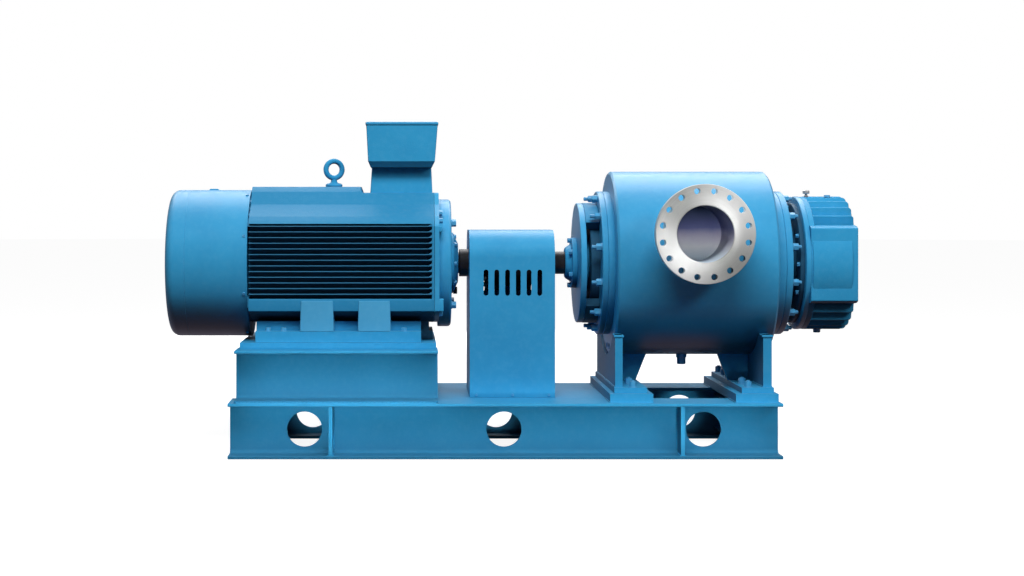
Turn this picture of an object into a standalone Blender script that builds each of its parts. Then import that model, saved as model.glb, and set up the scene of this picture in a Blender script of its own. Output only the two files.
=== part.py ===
"""Twin screw pump set: an electric motor drives a double ended screw pump through a guarded coupling.

Motor, coupling and pump stand in line on a skid of two long wide flange beams. Lengths are in metres.
X runs along the shaft from motor to pump, Y across it and Z up. The origin is under the middle of the set,
on the ground. Pieces on the shaft line are drawn about the shaft, which lies along X at SHAFT_HEIGHT.
"""

import math

import bmesh
import bpy
from mathutils import Matrix, Vector

GAP = 0.0003
SHAFT_HEIGHT = 0.870
ROUND = 48
ROUND_SMALL = 24

BLUE = (0.070, 0.300, 0.510)
BASE_BLUE = (0.040, 0.230, 0.430)
DARK_STEEL = (0.030, 0.030, 0.035)
BRIGHT_STEEL = (0.560, 0.550, 0.520)
RUBBER_BLACK = (0.012, 0.012, 0.012)

SKID_LEFT = -1.290
SKID_RIGHT = 1.210
SKID_MIDDLE = (SKID_LEFT + SKID_RIGHT) / 2
BEAM_SIZE = 0.250
BEAM_FLANGE = 0.014
BEAM_WEB = 0.009
BEAM_FILLET = 0.018
BEAM_Y = 0.375
LIFTING_HOLE_RADIUS = 0.080
LIFTING_HOLE_HEIGHT = 0.122
LIFTING_HOLE_SPACING = 0.910
STIFFENERS = (-0.827, 0.759)
STIFFENER_THICK = 0.018

CROSS_BEAM_HEIGHT = 0.176
CROSS_BEAM_WIDTH = 0.120
CROSS_BEAM_WALL = 0.010
CROSS_BEAM_STATIONS = (-1.220, -0.420, 0.534, 1.102)

DECK_THICK = 0.008
DECK_UNDER_STOOL = 0.100
STOOL_LEFT = -1.263
STOOL_RIGHT = -0.342
STOOL_OUTER_Y = 0.480
STOOL_WIDTH = 0.240
STOOL_WALL = 0.012
STOOL_TOP = 0.485
BED_LEFT = -1.247
BED_RIGHT = -0.349
BED_HALF_WIDTH = 0.370
BED_TOP = 0.515

MOTOR_LEFT = -1.217
MOTOR_RIGHT = -0.356
MOTOR_TOP = 0.361
MOTOR_STEP = 0.020
MOTOR_STEP_X = -0.693
FIN_COUNT = 13
FIN_TOP = 0.180
FIN_PITCH = 0.026
FIN_THICK = 0.007
FIN_TIP_Y = 0.340
FIN_ROOT_Y = 0.268
BAND_BOTTOM = -0.213
FOOT_LEFT = -1.177
FOOT_RIGHT = -0.418
FOOT_OUTER_Y = 0.346
FOOT_INNER_Y = 0.190
FOOT_THICK = 0.050
FOOT_RAIL_TOP = -0.263
LEGS = ((-0.973, -0.818), (-0.708, -0.557))
LEG_TOP = -0.165

COWL_LEFT = -1.597
COWL_RADIUS = 0.3465
COWL_SHEET = 0.004
COWL_ROUND = 0.040
COWL_WINDOWS = 10
COWL_WINDOW_INNER = 0.085
COWL_WINDOW_OUTER = 0.275
COWL_RIB_ANGLE = 7.0
NONDRIVE_SHIELD_LEFT = -1.262
MOTOR_SHAFT_RADIUS = 0.050
MOTOR_BORE_RADIUS = 0.058
SHAFT_SEAL_GAP = 0.0010
FAN_LEFT = -1.535
FAN_RIGHT = -1.430
FAN_BLADES = 9
FAN_BLADE_THICK = 0.008
FAN_BLADE_ROOT = 0.052
FAN_RADIUS = 0.290
DRIVE_SHIELD_RIGHT = -0.275
DRIVE_SHIELD_RADIUS = 0.302
DRIVE_SHIELD_EDGE = 0.014
MOTOR_CAP_RIGHT = -0.240
MOTOR_CAP_RADIUS = 0.144

NECK_TOP = 0.450
NECK_HALF_WIDTH = 0.130
BOX_SHOULDER = 0.479
BOX_TOP = 0.648
BOX_HALF_WIDTH = 0.200
LID_TOP = 0.6636
EYE_X = -0.830
EYE_HEIGHT = 0.444
EYE_RING_RADIUS = 0.0400
EYE_ROD_RADIUS = 0.0125
EYE_TURN = 20.0

GUARD_LEFT = -0.191
GUARD_RIGHT = 0.206
GUARD_HALF_WIDTH = 0.220
GUARD_TOP = 1.027
GUARD_CORNER = 0.130
GUARD_SHEET = 0.004
GUARD_SLOTS = 6
GUARD_SLOT_LEFT = -0.115
GUARD_SLOT_PITCH = 0.050
GUARD_SLOT_WIDTH = 0.022
GUARD_SLOT_BOTTOM = 0.723
GUARD_SLOT_TOP = 0.844

HUB_RADIUS = 0.065
HUB_LEFT = -0.234
COUPLING_RADIUS = 0.130
COUPLING_DISC_LEFT = -0.105
COUPLING_DISC_RIGHT = 0.105
COUPLING_HUB_RIGHT = 0.160
COUPLING_WAIST_RADIUS = 0.110
COUPLING_WAIST_HALF = 0.022
PUMP_SHAFT_RADIUS = 0.0535
PUMP_SHAFT_RIGHT = 0.345

CAP_LEFT = 0.2675
CAP_NOSE_RADIUS = 0.072
CAP_ROOT_RADIUS = 0.092
CAP_FLANGE_LEFT = 0.298
CAP_FLANGE_RADIUS = 0.119
BEARING_DISC_LEFT = 0.322
BEARING_DISC_RIGHT = 0.350
BEARING_DISC_RADIUS = 0.284
LANTERN_TUBE_RADIUS = 0.132
LANTERN_SEGMENT_OUTER = 0.285
LANTERN_SEGMENT_INNER = 0.235
LANTERN_SEGMENT_ANGLE = 47.0
DRIVE_COVER_LEFT = 0.416
COVER_RADIUS = 0.340
COVER_EDGE = 0.003
CASING_LEFT = 0.444
BARREL_LEFT = 0.476
BARREL_RIGHT = 1.213
BARREL_RADIUS = 0.434
BARREL_EDGE = 0.008
CASING_RIGHT = 1.2605
END_COVER_RIGHT = 1.292
GEAR_NECK_RADIUS = 0.200
GEAR_DISC_LEFT = 1.335
GEAR_DISC_RADIUS = 0.285
GEAR_FLANGE_LEFT = 1.355
GEAR_FLANGE_RADIUS = 0.316
GEAR_CASE_LEFT = 1.379
GEAR_CASE_RIGHT = 1.597
GEAR_CASE_RADIUS = 0.316
GEAR_CASE_CORE = 0.276
GEAR_CASE_ROUND = 0.032
GEAR_FIN_COUNT = 11
GEAR_FIN_PITCH = 9.2
GEAR_FIN_HALF_ANGLE = 1.5
GEAR_SIDE_START = 56.0
BREATHER_X = 1.420
BREATHER_STEM_RADIUS = 0.008
BREATHER_CAP_RADIUS = 0.017
BREATHER_CAP_HEIGHT = 0.024
GEAR_PAD_LEFT = 1.392
GEAR_PAD_RIGHT = 1.556
GEAR_PAD_FACE = 0.323
GEAR_PAD_DEPTH = 0.070
GEAR_PAD_BOTTOM = -0.122
GEAR_PAD_TOP = 0.110

NOZZLE_X = 0.841
NOZZLE_Z = 0.145
NOZZLE_FACE = 0.630
NOZZLE_FLANGE_RADIUS = 0.22225
NOZZLE_FLANGE_THICK = 0.0476
NOZZLE_NECK_RADIUS = 0.160
NOZZLE_BORE_RADIUS = 0.127
NOZZLE_BORE_END = 0.280
NOZZLE_ROOT = 0.350
NOZZLE_WELD = 0.012
NOZZLE_BOLT_CIRCLE = 0.19365
NOZZLE_BOLT_HOLES = 16
NOZZLE_BOLT_HOLE_RADIUS = 0.0143
DRAIN_X = 0.825
DRAIN_RADIUS = 0.025
DRAIN_LENGTH = 0.048

PAD_LEFT = (0.4365, 0.6315)
PAD_RIGHT = (1.0055, 1.199)
PAD_TOP = 0.290
PAD_HALF_WIDTH = 0.454
FOOT_PLATE_TOP = 0.315
FOOT_PLATE_HALF_WIDTH = 0.420
SADDLE_TOP = 0.553
SADDLE_HALF_WIDTH = 0.400
GUSSET_HALF_THICK = 0.015
GUSSET_TOP = 0.440


def clear_scene():
    for old in list(bpy.data.objects):
        bpy.data.objects.remove(old)


def finish_material(name, colour, roughness, metallic):
    made = bpy.data.materials.new(name)
    made.use_nodes = True
    shader = made.node_tree.nodes["Principled BSDF"]
    shader.inputs["Base Color"].default_value = (*colour, 1.0)
    shader.inputs["Roughness"].default_value = roughness
    shader.inputs["Metallic"].default_value = metallic
    return made


def blue_paint(name):
    return finish_material(name, BLUE, 0.35, 0.0)


def base_paint(name):
    return finish_material(name, BASE_BLUE, 0.40, 0.0)


def dark_steel(name):
    return finish_material(name, DARK_STEEL, 0.45, 0.8)


def bright_steel(name):
    return finish_material(name, BRIGHT_STEEL, 0.30, 1.0)


def reference(name, place):
    """An empty that carries the pieces drawn about one line."""
    empty = bpy.data.objects.new(name, None)
    empty.location = place
    bpy.context.scene.collection.objects.link(empty)
    return empty


def mesh_object(name, bm, parent):
    mesh = bpy.data.meshes.new(name)
    bm.to_mesh(mesh)
    bm.free()
    mesh.shade_smooth()
    mesh.set_sharp_from_angle(angle=math.radians(32))
    made = bpy.data.objects.new(name, mesh)
    made.parent = parent
    bpy.context.scene.collection.objects.link(made)
    return made


def piece(name, bm, paint, parent):
    made = mesh_object(name, bm, parent)
    made.data.materials.append(paint(name + "_finish"))
    return made


def shape_with(target, operation, bm, name):
    """Joins a helper solid to a piece, cuts it away, or keeps what they share."""
    helper = mesh_object(target.name + "_" + name, bm, target.parent)
    helper.hide_render = True
    helper.display_type = "WIRE"
    step = target.modifiers.new(name, "BOOLEAN")
    step.operation = operation
    step.object = helper


def together(*parts):
    """One mesh of several closed shells that don't touch each other."""
    whole = bmesh.new()
    for part in parts:
        scratch = bpy.data.meshes.new("scratch")
        part.to_mesh(scratch)
        part.free()
        whole.from_mesh(scratch)
        bpy.data.meshes.remove(scratch)
    return whole


def along(axis, u, v, w):
    """A point from two outline coordinates and the distance along the axis."""
    if axis == "x":
        return (w, u, v)
    if axis == "y":
        return (u, w, v)
    return (u, v, w)


def prism(outline, axis, low, high):
    """A flat outline extruded along an axis."""
    bm = bmesh.new()
    ring = [bm.verts.new(along(axis, u, v, low)) for u, v in outline]
    face = bm.faces.new(ring)
    grown = bmesh.ops.extrude_face_region(bm, geom=[face])
    moved = [part for part in grown["geom"] if isinstance(part, bmesh.types.BMVert)]
    bmesh.ops.translate(bm, verts=moved, vec=Vector(along(axis, 0, 0, high - low)))
    bmesh.ops.recalc_face_normals(bm, faces=bm.faces)
    return bm


def block(x, y, z):
    """A box from its low and high values on each axis."""
    outline = [(x[0], y[0]), (x[1], y[0]), (x[1], y[1]), (x[0], y[1])]
    return prism(outline, "z", z[0], z[1])


def arc(centre, radius, start, end, steps):
    """Points on an arc, with angles in degrees from the first outline coordinate."""
    points = []
    for step in range(steps + 1):
        angle = math.radians(start + (end - start) * step / steps)
        points.append((centre[0] + radius * math.cos(angle), centre[1] + radius * math.sin(angle)))
    return points


def circle(centre, radius, steps):
    return arc(centre, radius, 0.0, 360.0, steps)[:-1]


def polar(radius, angle):
    """A point at an angle in degrees from the vertical."""
    turn = math.radians(angle)
    return (radius * math.sin(turn), radius * math.cos(turn))


def turned(profile, steps, ring=False):
    """A profile of (x, radius) points turned about the X axis."""
    bm = bmesh.new()
    verts = [bm.verts.new((x, 0.0, radius)) for x, radius in profile]
    edges = [bm.edges.new(pair) for pair in zip(verts, verts[1:])]
    if ring:
        edges.append(bm.edges.new((verts[-1], verts[0])))
    bmesh.ops.spin(
        bm,
        geom=verts + edges,
        cent=(0, 0, 0),
        axis=(1, 0, 0),
        angle=2.0 * math.pi,
        steps=steps,
        use_merge=True,
    )
    bmesh.ops.remove_doubles(bm, verts=bm.verts, dist=1e-6)
    bmesh.ops.recalc_face_normals(bm, faces=bm.faces)
    return bm


def disc(left, right, radius, edge=0.0):
    """Profile of a solid disc, with its outer edges chamfered."""
    if not edge:
        return [(left, 0.0), (left, radius), (right, radius), (right, 0.0)]
    start = [(left, 0.0), (left, radius - edge), (left + edge, radius)]
    return start + [(right - edge, radius), (right, radius - edge), (right, 0.0)]


def washer(left, right, inner, outer, edge=0.0):
    """Profile of a disc with a round hole, with its outer edges chamfered."""
    if not edge:
        return [(left, inner), (left, outer), (right, outer), (right, inner)]
    start = [(left, inner), (left, outer - edge), (left + edge, outer)]
    return start + [(right - edge, outer), (right, outer - edge), (right, inner)]


def loft(levels):
    """A four sided solid from (x low, x high, y half width, z) levels, bottom first."""
    bm = bmesh.new()
    rings = []
    for left, right, half, height in levels:
        corners = [(left, -half), (right, -half), (right, half), (left, half)]
        rings.append([bm.verts.new((x, y, height)) for x, y in corners])
    bm.faces.new(rings[0])
    bm.faces.new(rings[-1])
    for lower, upper in zip(rings, rings[1:]):
        for side in range(4):
            after = (side + 1) % 4
            bm.faces.new((lower[side], lower[after], upper[after], upper[side]))
    bmesh.ops.recalc_face_normals(bm, faces=bm.faces)
    return bm


def beam_outline(size, height, flange, web, fillet):
    """Cross section of a wide flange beam, with its foot at zero height."""
    half = size / 2
    wall = web / 2
    low = flange
    high = height - flange
    right = [(half, 0.0), (half, low)]
    right += [(wall + fillet - x, low + fillet - y) for x, y in arc((0, 0), fillet, 90.0, 0.0, 3)]
    right += [(wall + fillet - x, high - fillet + y) for x, y in arc((0, 0), fillet, 0.0, 90.0, 3)]
    right += [(half, high), (half, height)]
    left = [(-x, z) for x, z in reversed(right)]
    return right + left


def skid_beam(name, side, parent):
    section = beam_outline(BEAM_SIZE, BEAM_SIZE, BEAM_FLANGE, BEAM_WEB, BEAM_FILLET)
    outline = [(side * BEAM_Y + y, z) for y, z in section]
    beam = piece(name, prism(outline, "x", SKID_LEFT, SKID_RIGHT), base_paint, parent)
    plates = []
    for station in STIFFENERS:
        span = (station - STIFFENER_THICK / 2, station + STIFFENER_THICK / 2)
        ends = sorted((side * BEAM_Y, side * (BEAM_Y + BEAM_SIZE / 2 - 0.002)))
        plates.append(block(span, ends, (BEAM_FLANGE / 2, BEAM_SIZE - BEAM_FLANGE / 2)))
    shape_with(beam, "UNION", together(*plates), "stiffeners")
    holes = []
    for place in (-1, 0, 1):
        centre = (SKID_MIDDLE + place * LIFTING_HOLE_SPACING, LIFTING_HOLE_HEIGHT)
        ends = sorted((side * (BEAM_Y - 0.05), side * (BEAM_Y + 0.05)))
        holes.append(prism(circle(centre, LIFTING_HOLE_RADIUS, ROUND_SMALL), "y", *ends))
    shape_with(beam, "DIFFERENCE", together(*holes), "lifting_holes")


def cross_beam(name, station, parent):
    low = (BEAM_SIZE - CROSS_BEAM_HEIGHT) / 2
    wall = CROSS_BEAM_WALL
    section = beam_outline(CROSS_BEAM_WIDTH, CROSS_BEAM_HEIGHT, wall, wall, wall)
    outline = [(station + x, low + z) for x, z in section]
    reach = BEAM_Y - BEAM_WEB / 2 - GAP
    piece(name, prism(outline, "y", -reach, reach), base_paint, parent)


def deck_plate(parent):
    reach = BEAM_Y - BEAM_SIZE / 2 - GAP
    span = (STOOL_RIGHT - DECK_UNDER_STOOL, PAD_LEFT[0] - GAP)
    heights = (BEAM_SIZE - DECK_THICK, BEAM_SIZE)
    piece("deck_plate", block(span, (-reach, reach), heights), base_paint, parent)


def pump_pad(name, span, parent):
    heights = (BEAM_SIZE + GAP, PAD_TOP - GAP)
    piece(name, block(span, (-PAD_HALF_WIDTH, PAD_HALF_WIDTH), heights), base_paint, parent)


def motor_stool(name, side, parent):
    height = STOOL_TOP - BEAM_SIZE - 2 * GAP
    middle = side * (STOOL_OUTER_Y - STOOL_WIDTH / 2)
    section = beam_outline(STOOL_WIDTH, height, STOOL_WALL, STOOL_WALL, STOOL_WALL)
    outline = [(middle + y, BEAM_SIZE + GAP + z) for y, z in section]
    piece(name, prism(outline, "x", STOOL_LEFT, STOOL_RIGHT), base_paint, parent)


def motor_bed_plate(parent):
    heights = (STOOL_TOP, BED_TOP - GAP)
    span = (BED_LEFT, BED_RIGHT)
    piece("motor_bed_plate", block(span, (-BED_HALF_WIDTH, BED_HALF_WIDTH), heights), base_paint, parent)


def motor_foot(name, side, parent):
    """A foot bar with a thin rail along its top."""
    bottom = BED_TOP - SHAFT_HEIGHT
    top = bottom + FOOT_THICK
    inner = FOOT_OUTER_Y - 0.075
    outline = [(FOOT_INNER_Y, bottom), (FOOT_OUTER_Y, bottom), (FOOT_OUTER_Y, top), (inner, top)]
    outline += [(inner, FOOT_RAIL_TOP), (FOOT_INNER_Y, FOOT_RAIL_TOP)]
    outline = [(side * y, z) for y, z in outline]
    foot = piece(name, prism(outline, "x", FOOT_LEFT, FOOT_RIGHT), blue_paint, parent)
    notches = []
    for left, right in LEGS:
        ends = sorted((side * (FOOT_INNER_Y - 0.02), side * (FOOT_OUTER_Y + 0.02)))
        notches.append(block((left - GAP, right + GAP), ends, (top, FOOT_RAIL_TOP + 0.02)))
    shape_with(foot, "DIFFERENCE", together(*notches), "leg_seats")


def motor_outline():
    """Right half of the frame section from the top down, with its cooling fins, then the left half."""
    half = [(0.115, MOTOR_TOP), (0.150, 0.337), (0.190, 0.283), (0.290, 0.226), (0.318, 0.197)]
    half.append((FIN_TIP_Y, FIN_TOP + FIN_THICK))
    for fin in range(FIN_COUNT):
        top = FIN_TOP - fin * FIN_PITCH
        if fin:
            half.append((FIN_TIP_Y, top))
        half.append((FIN_TIP_Y, top - FIN_THICK))
        half.append((FIN_ROOT_Y, top - FIN_THICK))
        half.append((FIN_ROOT_Y, top - FIN_PITCH))
    band_top = FIN_TOP - FIN_COUNT * FIN_PITCH
    half += [(FIN_TIP_Y, band_top), (FIN_TIP_Y, BAND_BOTTOM)]
    half += [(0.292, -0.232), (0.170, -0.268), (0.0, -0.282)]
    mirrored = [(-y, z) for y, z in reversed(half[:-1])]
    return half + mirrored


def motor_frame(parent):
    frame = piece("motor_frame", prism(motor_outline(), "x", MOTOR_LEFT, MOTOR_RIGHT), blue_paint, parent)
    top = BED_TOP - SHAFT_HEIGHT + FOOT_THICK
    legs = []
    for left, right in LEGS:
        for side in (-1, 1):
            ends = sorted((side * 0.205, side * (FOOT_OUTER_Y + 0.001)))
            legs.append(block((left, right), ends, (top + GAP, LEG_TOP)))
    shape_with(frame, "UNION", together(*legs), "legs")
    step = block((MOTOR_STEP_X, MOTOR_RIGHT + 0.05), (-0.5, 0.5), (MOTOR_TOP - MOTOR_STEP, MOTOR_TOP + 0.1))
    shape_with(frame, "DIFFERENCE", step, "terminal_seat")
    bore = prism(circle((0, 0), MOTOR_BORE_RADIUS, ROUND_SMALL), "x", MOTOR_LEFT - 0.05, MOTOR_RIGHT + 0.05)
    shape_with(frame, "DIFFERENCE", bore, "shaft_bore")


def wedge(inner, outer, start, end, low, high):
    """A sector between two radii, with angles from the vertical."""
    steps = 3
    angles = [start + (end - start) * step / steps for step in range(steps + 1)]
    outline = [polar(outer, angle) for angle in angles]
    outline += [polar(inner, angle) for angle in reversed(angles)]
    return prism(outline, "x", low, high)


def fan_cowl(parent):
    """Sheet cover over the fan, with a rounded end that has radial air windows."""
    open_end = MOTOR_LEFT - GAP
    start = COWL_LEFT + COWL_ROUND
    outer = [(start - x, COWL_RADIUS - COWL_ROUND + y) for x, y in arc((0, 0), COWL_ROUND, 0.0, 90.0, 3)]
    inner_round = COWL_ROUND - COWL_SHEET
    inner = [(start - x, COWL_RADIUS - COWL_ROUND + y) for x, y in arc((0, 0), inner_round, 90.0, 0.0, 3)]
    wall = [(open_end, COWL_RADIUS), (open_end, COWL_RADIUS - COWL_SHEET)]
    profile = [(COWL_LEFT, 0.0)] + outer + wall + inner + [(COWL_LEFT + COWL_SHEET, 0.0)]
    cowl = piece("fan_cowl", turned(profile, ROUND), blue_paint, parent)
    windows = []
    pitch = 360.0 / COWL_WINDOWS
    for window in range(COWL_WINDOWS):
        first = window * pitch + COWL_RIB_ANGLE / 2
        last = (window + 1) * pitch - COWL_RIB_ANGLE / 2
        low = COWL_LEFT - 0.01
        windows.append(wedge(COWL_WINDOW_INNER, COWL_WINDOW_OUTER, first, last, low, low + 0.03))
    shape_with(cowl, "DIFFERENCE", together(*windows), "air_windows")


def motor_nondrive_shield(parent):
    """End plate behind the fan, which also carries the cowl's rim."""
    bore = MOTOR_SHAFT_RADIUS + SHAFT_SEAL_GAP
    rim = COWL_RADIUS - COWL_SHEET - GAP
    right = MOTOR_LEFT - GAP
    boss = NONDRIVE_SHIELD_LEFT - 0.045
    profile = [(boss, bore), (boss, 0.100), (NONDRIVE_SHIELD_LEFT, 0.120), (NONDRIVE_SHIELD_LEFT, rim)]
    profile += [(right, rim), (right, bore)]
    piece("motor_nondrive_shield", turned(profile, ROUND, ring=True), blue_paint, parent)


def motor_drive_shield(parent):
    bore = MOTOR_SHAFT_RADIUS + SHAFT_SEAL_GAP
    left = MOTOR_RIGHT + GAP
    right = DRIVE_SHIELD_RIGHT - GAP
    outer = DRIVE_SHIELD_RADIUS
    edge = DRIVE_SHIELD_EDGE
    profile = [(left, bore), (left, outer), (right - edge, outer - edge / 3)]
    profile += [(right, outer - edge), (right, bore)]
    piece("motor_drive_shield", turned(profile, ROUND, ring=True), blue_paint, parent)


def motor_bearing_cap(parent):
    bore = MOTOR_SHAFT_RADIUS + SHAFT_SEAL_GAP
    profile = washer(DRIVE_SHIELD_RIGHT, MOTOR_CAP_RIGHT, bore, MOTOR_CAP_RADIUS, 0.006)
    piece("motor_bearing_cap", turned(profile, ROUND_SMALL, ring=True), blue_paint, parent)


def motor_fan(parent):
    rim = FAN_RADIUS - 0.020
    profile = [(FAN_LEFT, 0.0), (FAN_LEFT, 0.045), (FAN_RIGHT - 0.012, 0.070)]
    profile += [(FAN_RIGHT - 0.008, rim), (FAN_RIGHT, rim), (FAN_RIGHT, 0.0)]
    fan = piece("motor_fan", turned(profile, ROUND_SMALL), dark_steel, parent)
    blades = []
    half = FAN_BLADE_THICK / 2
    for blade in range(FAN_BLADES):
        arm = block((FAN_LEFT + 0.01, FAN_RIGHT - 0.004), (-half, half), (FAN_BLADE_ROOT, FAN_RADIUS))
        turn = Matrix.Rotation(2.0 * math.pi * (blade + 0.5) / FAN_BLADES, 4, "X")
        bmesh.ops.transform(arm, matrix=turn, verts=arm.verts)
        blades.append(arm)
    shape_with(fan, "UNION", together(*blades), "blades")


def motor_shaft(parent):
    profile = disc(FAN_RIGHT + GAP, HUB_LEFT - GAP, MOTOR_SHAFT_RADIUS)
    piece("motor_shaft", turned(profile, ROUND_SMALL), dark_steel, parent)


def terminal_neck(parent):
    base = MOTOR_TOP - MOTOR_STEP + GAP
    levels = [(-0.660, -0.362, NECK_HALF_WIDTH, base), (-0.647, -0.373, NECK_HALF_WIDTH, base + 0.018)]
    levels.append((-0.645, -0.376, NECK_HALF_WIDTH, NECK_TOP))
    piece("terminal_neck", loft(levels), blue_paint, parent)


def terminal_box(parent):
    levels = [(-0.652, -0.366, BOX_HALF_WIDTH - 0.020, NECK_TOP + GAP)]
    levels.append((-0.664, -0.352, BOX_HALF_WIDTH, BOX_SHOULDER))
    levels.append((-0.6725, -0.339, BOX_HALF_WIDTH + 0.006, BOX_TOP))
    piece("terminal_box", loft(levels), blue_paint, parent)


def terminal_lid(parent):
    reach = BOX_HALF_WIDTH + 0.010
    levels = [(-0.676, -0.336, reach, BOX_TOP + GAP), (-0.676, -0.336, reach, LID_TOP - 0.004)]
    levels.append((-0.672, -0.340, reach - 0.004, LID_TOP))
    piece("terminal_lid", loft(levels), blue_paint, parent)


def eye_bolt(parent):
    base = MOTOR_TOP + GAP
    rod = arc((0.0, EYE_RING_RADIUS), EYE_ROD_RADIUS, 0.0, 360.0, 8)[:-1]
    ring = turned(rod, 20, ring=True)
    turn = Matrix.Rotation(math.radians(90.0 + EYE_TURN), 4, "Z")
    place = Matrix.Translation((EYE_X, 0.0, EYE_HEIGHT)) @ turn
    bmesh.ops.transform(ring, matrix=place, verts=ring.verts)
    eye = piece("eye_bolt", ring, blue_paint, parent)
    top = EYE_HEIGHT - EYE_RING_RADIUS - EYE_ROD_RADIUS / 2
    stand = [(base, 0.0), (base, 0.040), (base + 0.012, 0.040), (base + 0.018, 0.030)]
    stand += [(base + 0.020, 0.016), (top, 0.016), (top, 0.0)]
    boss = turned(stand, 16)
    upright = Matrix.Translation((EYE_X, 0.0, 0.0)) @ Matrix.Rotation(math.radians(-90.0), 4, "Y")
    bmesh.ops.transform(boss, matrix=upright, verts=boss.verts)
    shape_with(eye, "UNION", boss, "boss")


def guard_arch(inset, bottom):
    """The guard's outline from the foot on one side over the top to the other foot."""
    half = GUARD_HALF_WIDTH - inset
    top = GUARD_TOP - inset
    radius = GUARD_CORNER - inset
    points = [(half, bottom)]
    points += arc((half - radius, top - radius), radius, 0.0, 90.0, 8)
    points += arc((-half + radius, top - radius), radius, 90.0, 180.0, 8)
    points.append((-half, bottom))
    return points


def guard_wrap(parent):
    bottom = BEAM_SIZE + GAP
    outline = guard_arch(0.0, bottom) + list(reversed(guard_arch(GUARD_SHEET, bottom)))
    wrap = piece("guard_wrap", prism(outline, "x", GUARD_LEFT, GUARD_RIGHT), blue_paint, parent)
    slots = []
    radius = GUARD_SLOT_WIDTH / 2
    for slot in range(GUARD_SLOTS):
        middle = GUARD_SLOT_LEFT + slot * GUARD_SLOT_PITCH
        outline = arc((middle, GUARD_SLOT_TOP - radius), radius, 0.0, 180.0, 6)
        outline += arc((middle, GUARD_SLOT_BOTTOM + radius), radius, 180.0, 360.0, 6)
        slots.append(prism(outline, "y", -GUARD_HALF_WIDTH - 0.05, GUARD_HALF_WIDTH + 0.05))
    shape_with(wrap, "DIFFERENCE", together(*slots), "vents")


def guard_end(name, left, hole, parent):
    """End plate inside the wrap, with a round hole that clears the turning shaft."""
    outline = guard_arch(GUARD_SHEET + GAP, BEAM_SIZE + GAP)
    plate = piece(name, prism(outline, "x", left, left + GUARD_SHEET), blue_paint, parent)
    cutter = prism(circle((0.0, SHAFT_HEIGHT), hole, ROUND_SMALL), "x", left - 0.02, left + 0.02)
    shape_with(plate, "DIFFERENCE", cutter, "shaft_hole")


def coupling(parent):
    waist = COUPLING_WAIST_HALF
    profile = [(HUB_LEFT, 0.0), (HUB_LEFT, HUB_RADIUS), (COUPLING_DISC_LEFT, HUB_RADIUS)]
    profile += [(COUPLING_DISC_LEFT, COUPLING_RADIUS), (-waist, COUPLING_RADIUS)]
    profile += [(-waist, COUPLING_WAIST_RADIUS), (waist, COUPLING_WAIST_RADIUS)]
    profile += [(waist, COUPLING_RADIUS), (COUPLING_DISC_RIGHT, COUPLING_RADIUS)]
    profile += [(COUPLING_DISC_RIGHT, HUB_RADIUS), (COUPLING_HUB_RIGHT, HUB_RADIUS)]
    profile.append((COUPLING_HUB_RIGHT, 0.0))
    piece("coupling", turned(profile, ROUND_SMALL), dark_steel, parent)


def pump_shaft(parent):
    profile = disc(COUPLING_HUB_RIGHT + GAP, PUMP_SHAFT_RIGHT, PUMP_SHAFT_RADIUS)
    piece("pump_shaft", turned(profile, ROUND_SMALL), dark_steel, parent)


def pump_bearing_cap(parent):
    bore = PUMP_SHAFT_RADIUS + SHAFT_SEAL_GAP
    right = BEARING_DISC_LEFT - GAP
    profile = [(CAP_LEFT, bore), (CAP_LEFT, CAP_NOSE_RADIUS - 0.004), (CAP_LEFT + 0.004, CAP_NOSE_RADIUS)]
    profile += [(CAP_FLANGE_LEFT, CAP_ROOT_RADIUS), (CAP_FLANGE_LEFT, CAP_FLANGE_RADIUS)]
    profile += [(right, CAP_FLANGE_RADIUS), (right, bore)]
    piece("pump_bearing_cap", turned(profile, ROUND_SMALL, ring=True), blue_paint, parent)


def bearing_disc(parent):
    bore = PUMP_SHAFT_RADIUS + SHAFT_SEAL_GAP
    profile = washer(BEARING_DISC_LEFT, BEARING_DISC_RIGHT, bore, BEARING_DISC_RADIUS, 0.004)
    piece("bearing_disc", turned(profile, ROUND, ring=True), blue_paint, parent)


def lantern_segment(name, pole, parent):
    """Arched wall between the bearing disc and the casing cover, above or below the shaft."""
    start = pole - LANTERN_SEGMENT_ANGLE
    end = pole + LANTERN_SEGMENT_ANGLE
    angles = [start + (end - start) * step / 12 for step in range(13)]
    outline = [polar(LANTERN_SEGMENT_OUTER, angle) for angle in angles]
    outline += [polar(LANTERN_SEGMENT_INNER, angle) for angle in reversed(angles)]
    wall = prism(outline, "x", BEARING_DISC_RIGHT + GAP, DRIVE_COVER_LEFT - GAP)
    piece(name, wall, blue_paint, parent)


def drive_cover(parent):
    """Casing cover at the drive end, with the seal tube that reaches out to the bearing disc."""
    left = BEARING_DISC_RIGHT + GAP
    right = CASING_LEFT - GAP
    profile = [(left, 0.0), (left, LANTERN_TUBE_RADIUS), (DRIVE_COVER_LEFT, LANTERN_TUBE_RADIUS)]
    profile += [(DRIVE_COVER_LEFT, COVER_RADIUS - COVER_EDGE), (DRIVE_COVER_LEFT + COVER_EDGE, COVER_RADIUS)]
    profile += [(right, COVER_RADIUS), (right, 0.0)]
    piece("drive_cover", turned(profile, ROUND), blue_paint, parent)


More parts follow.
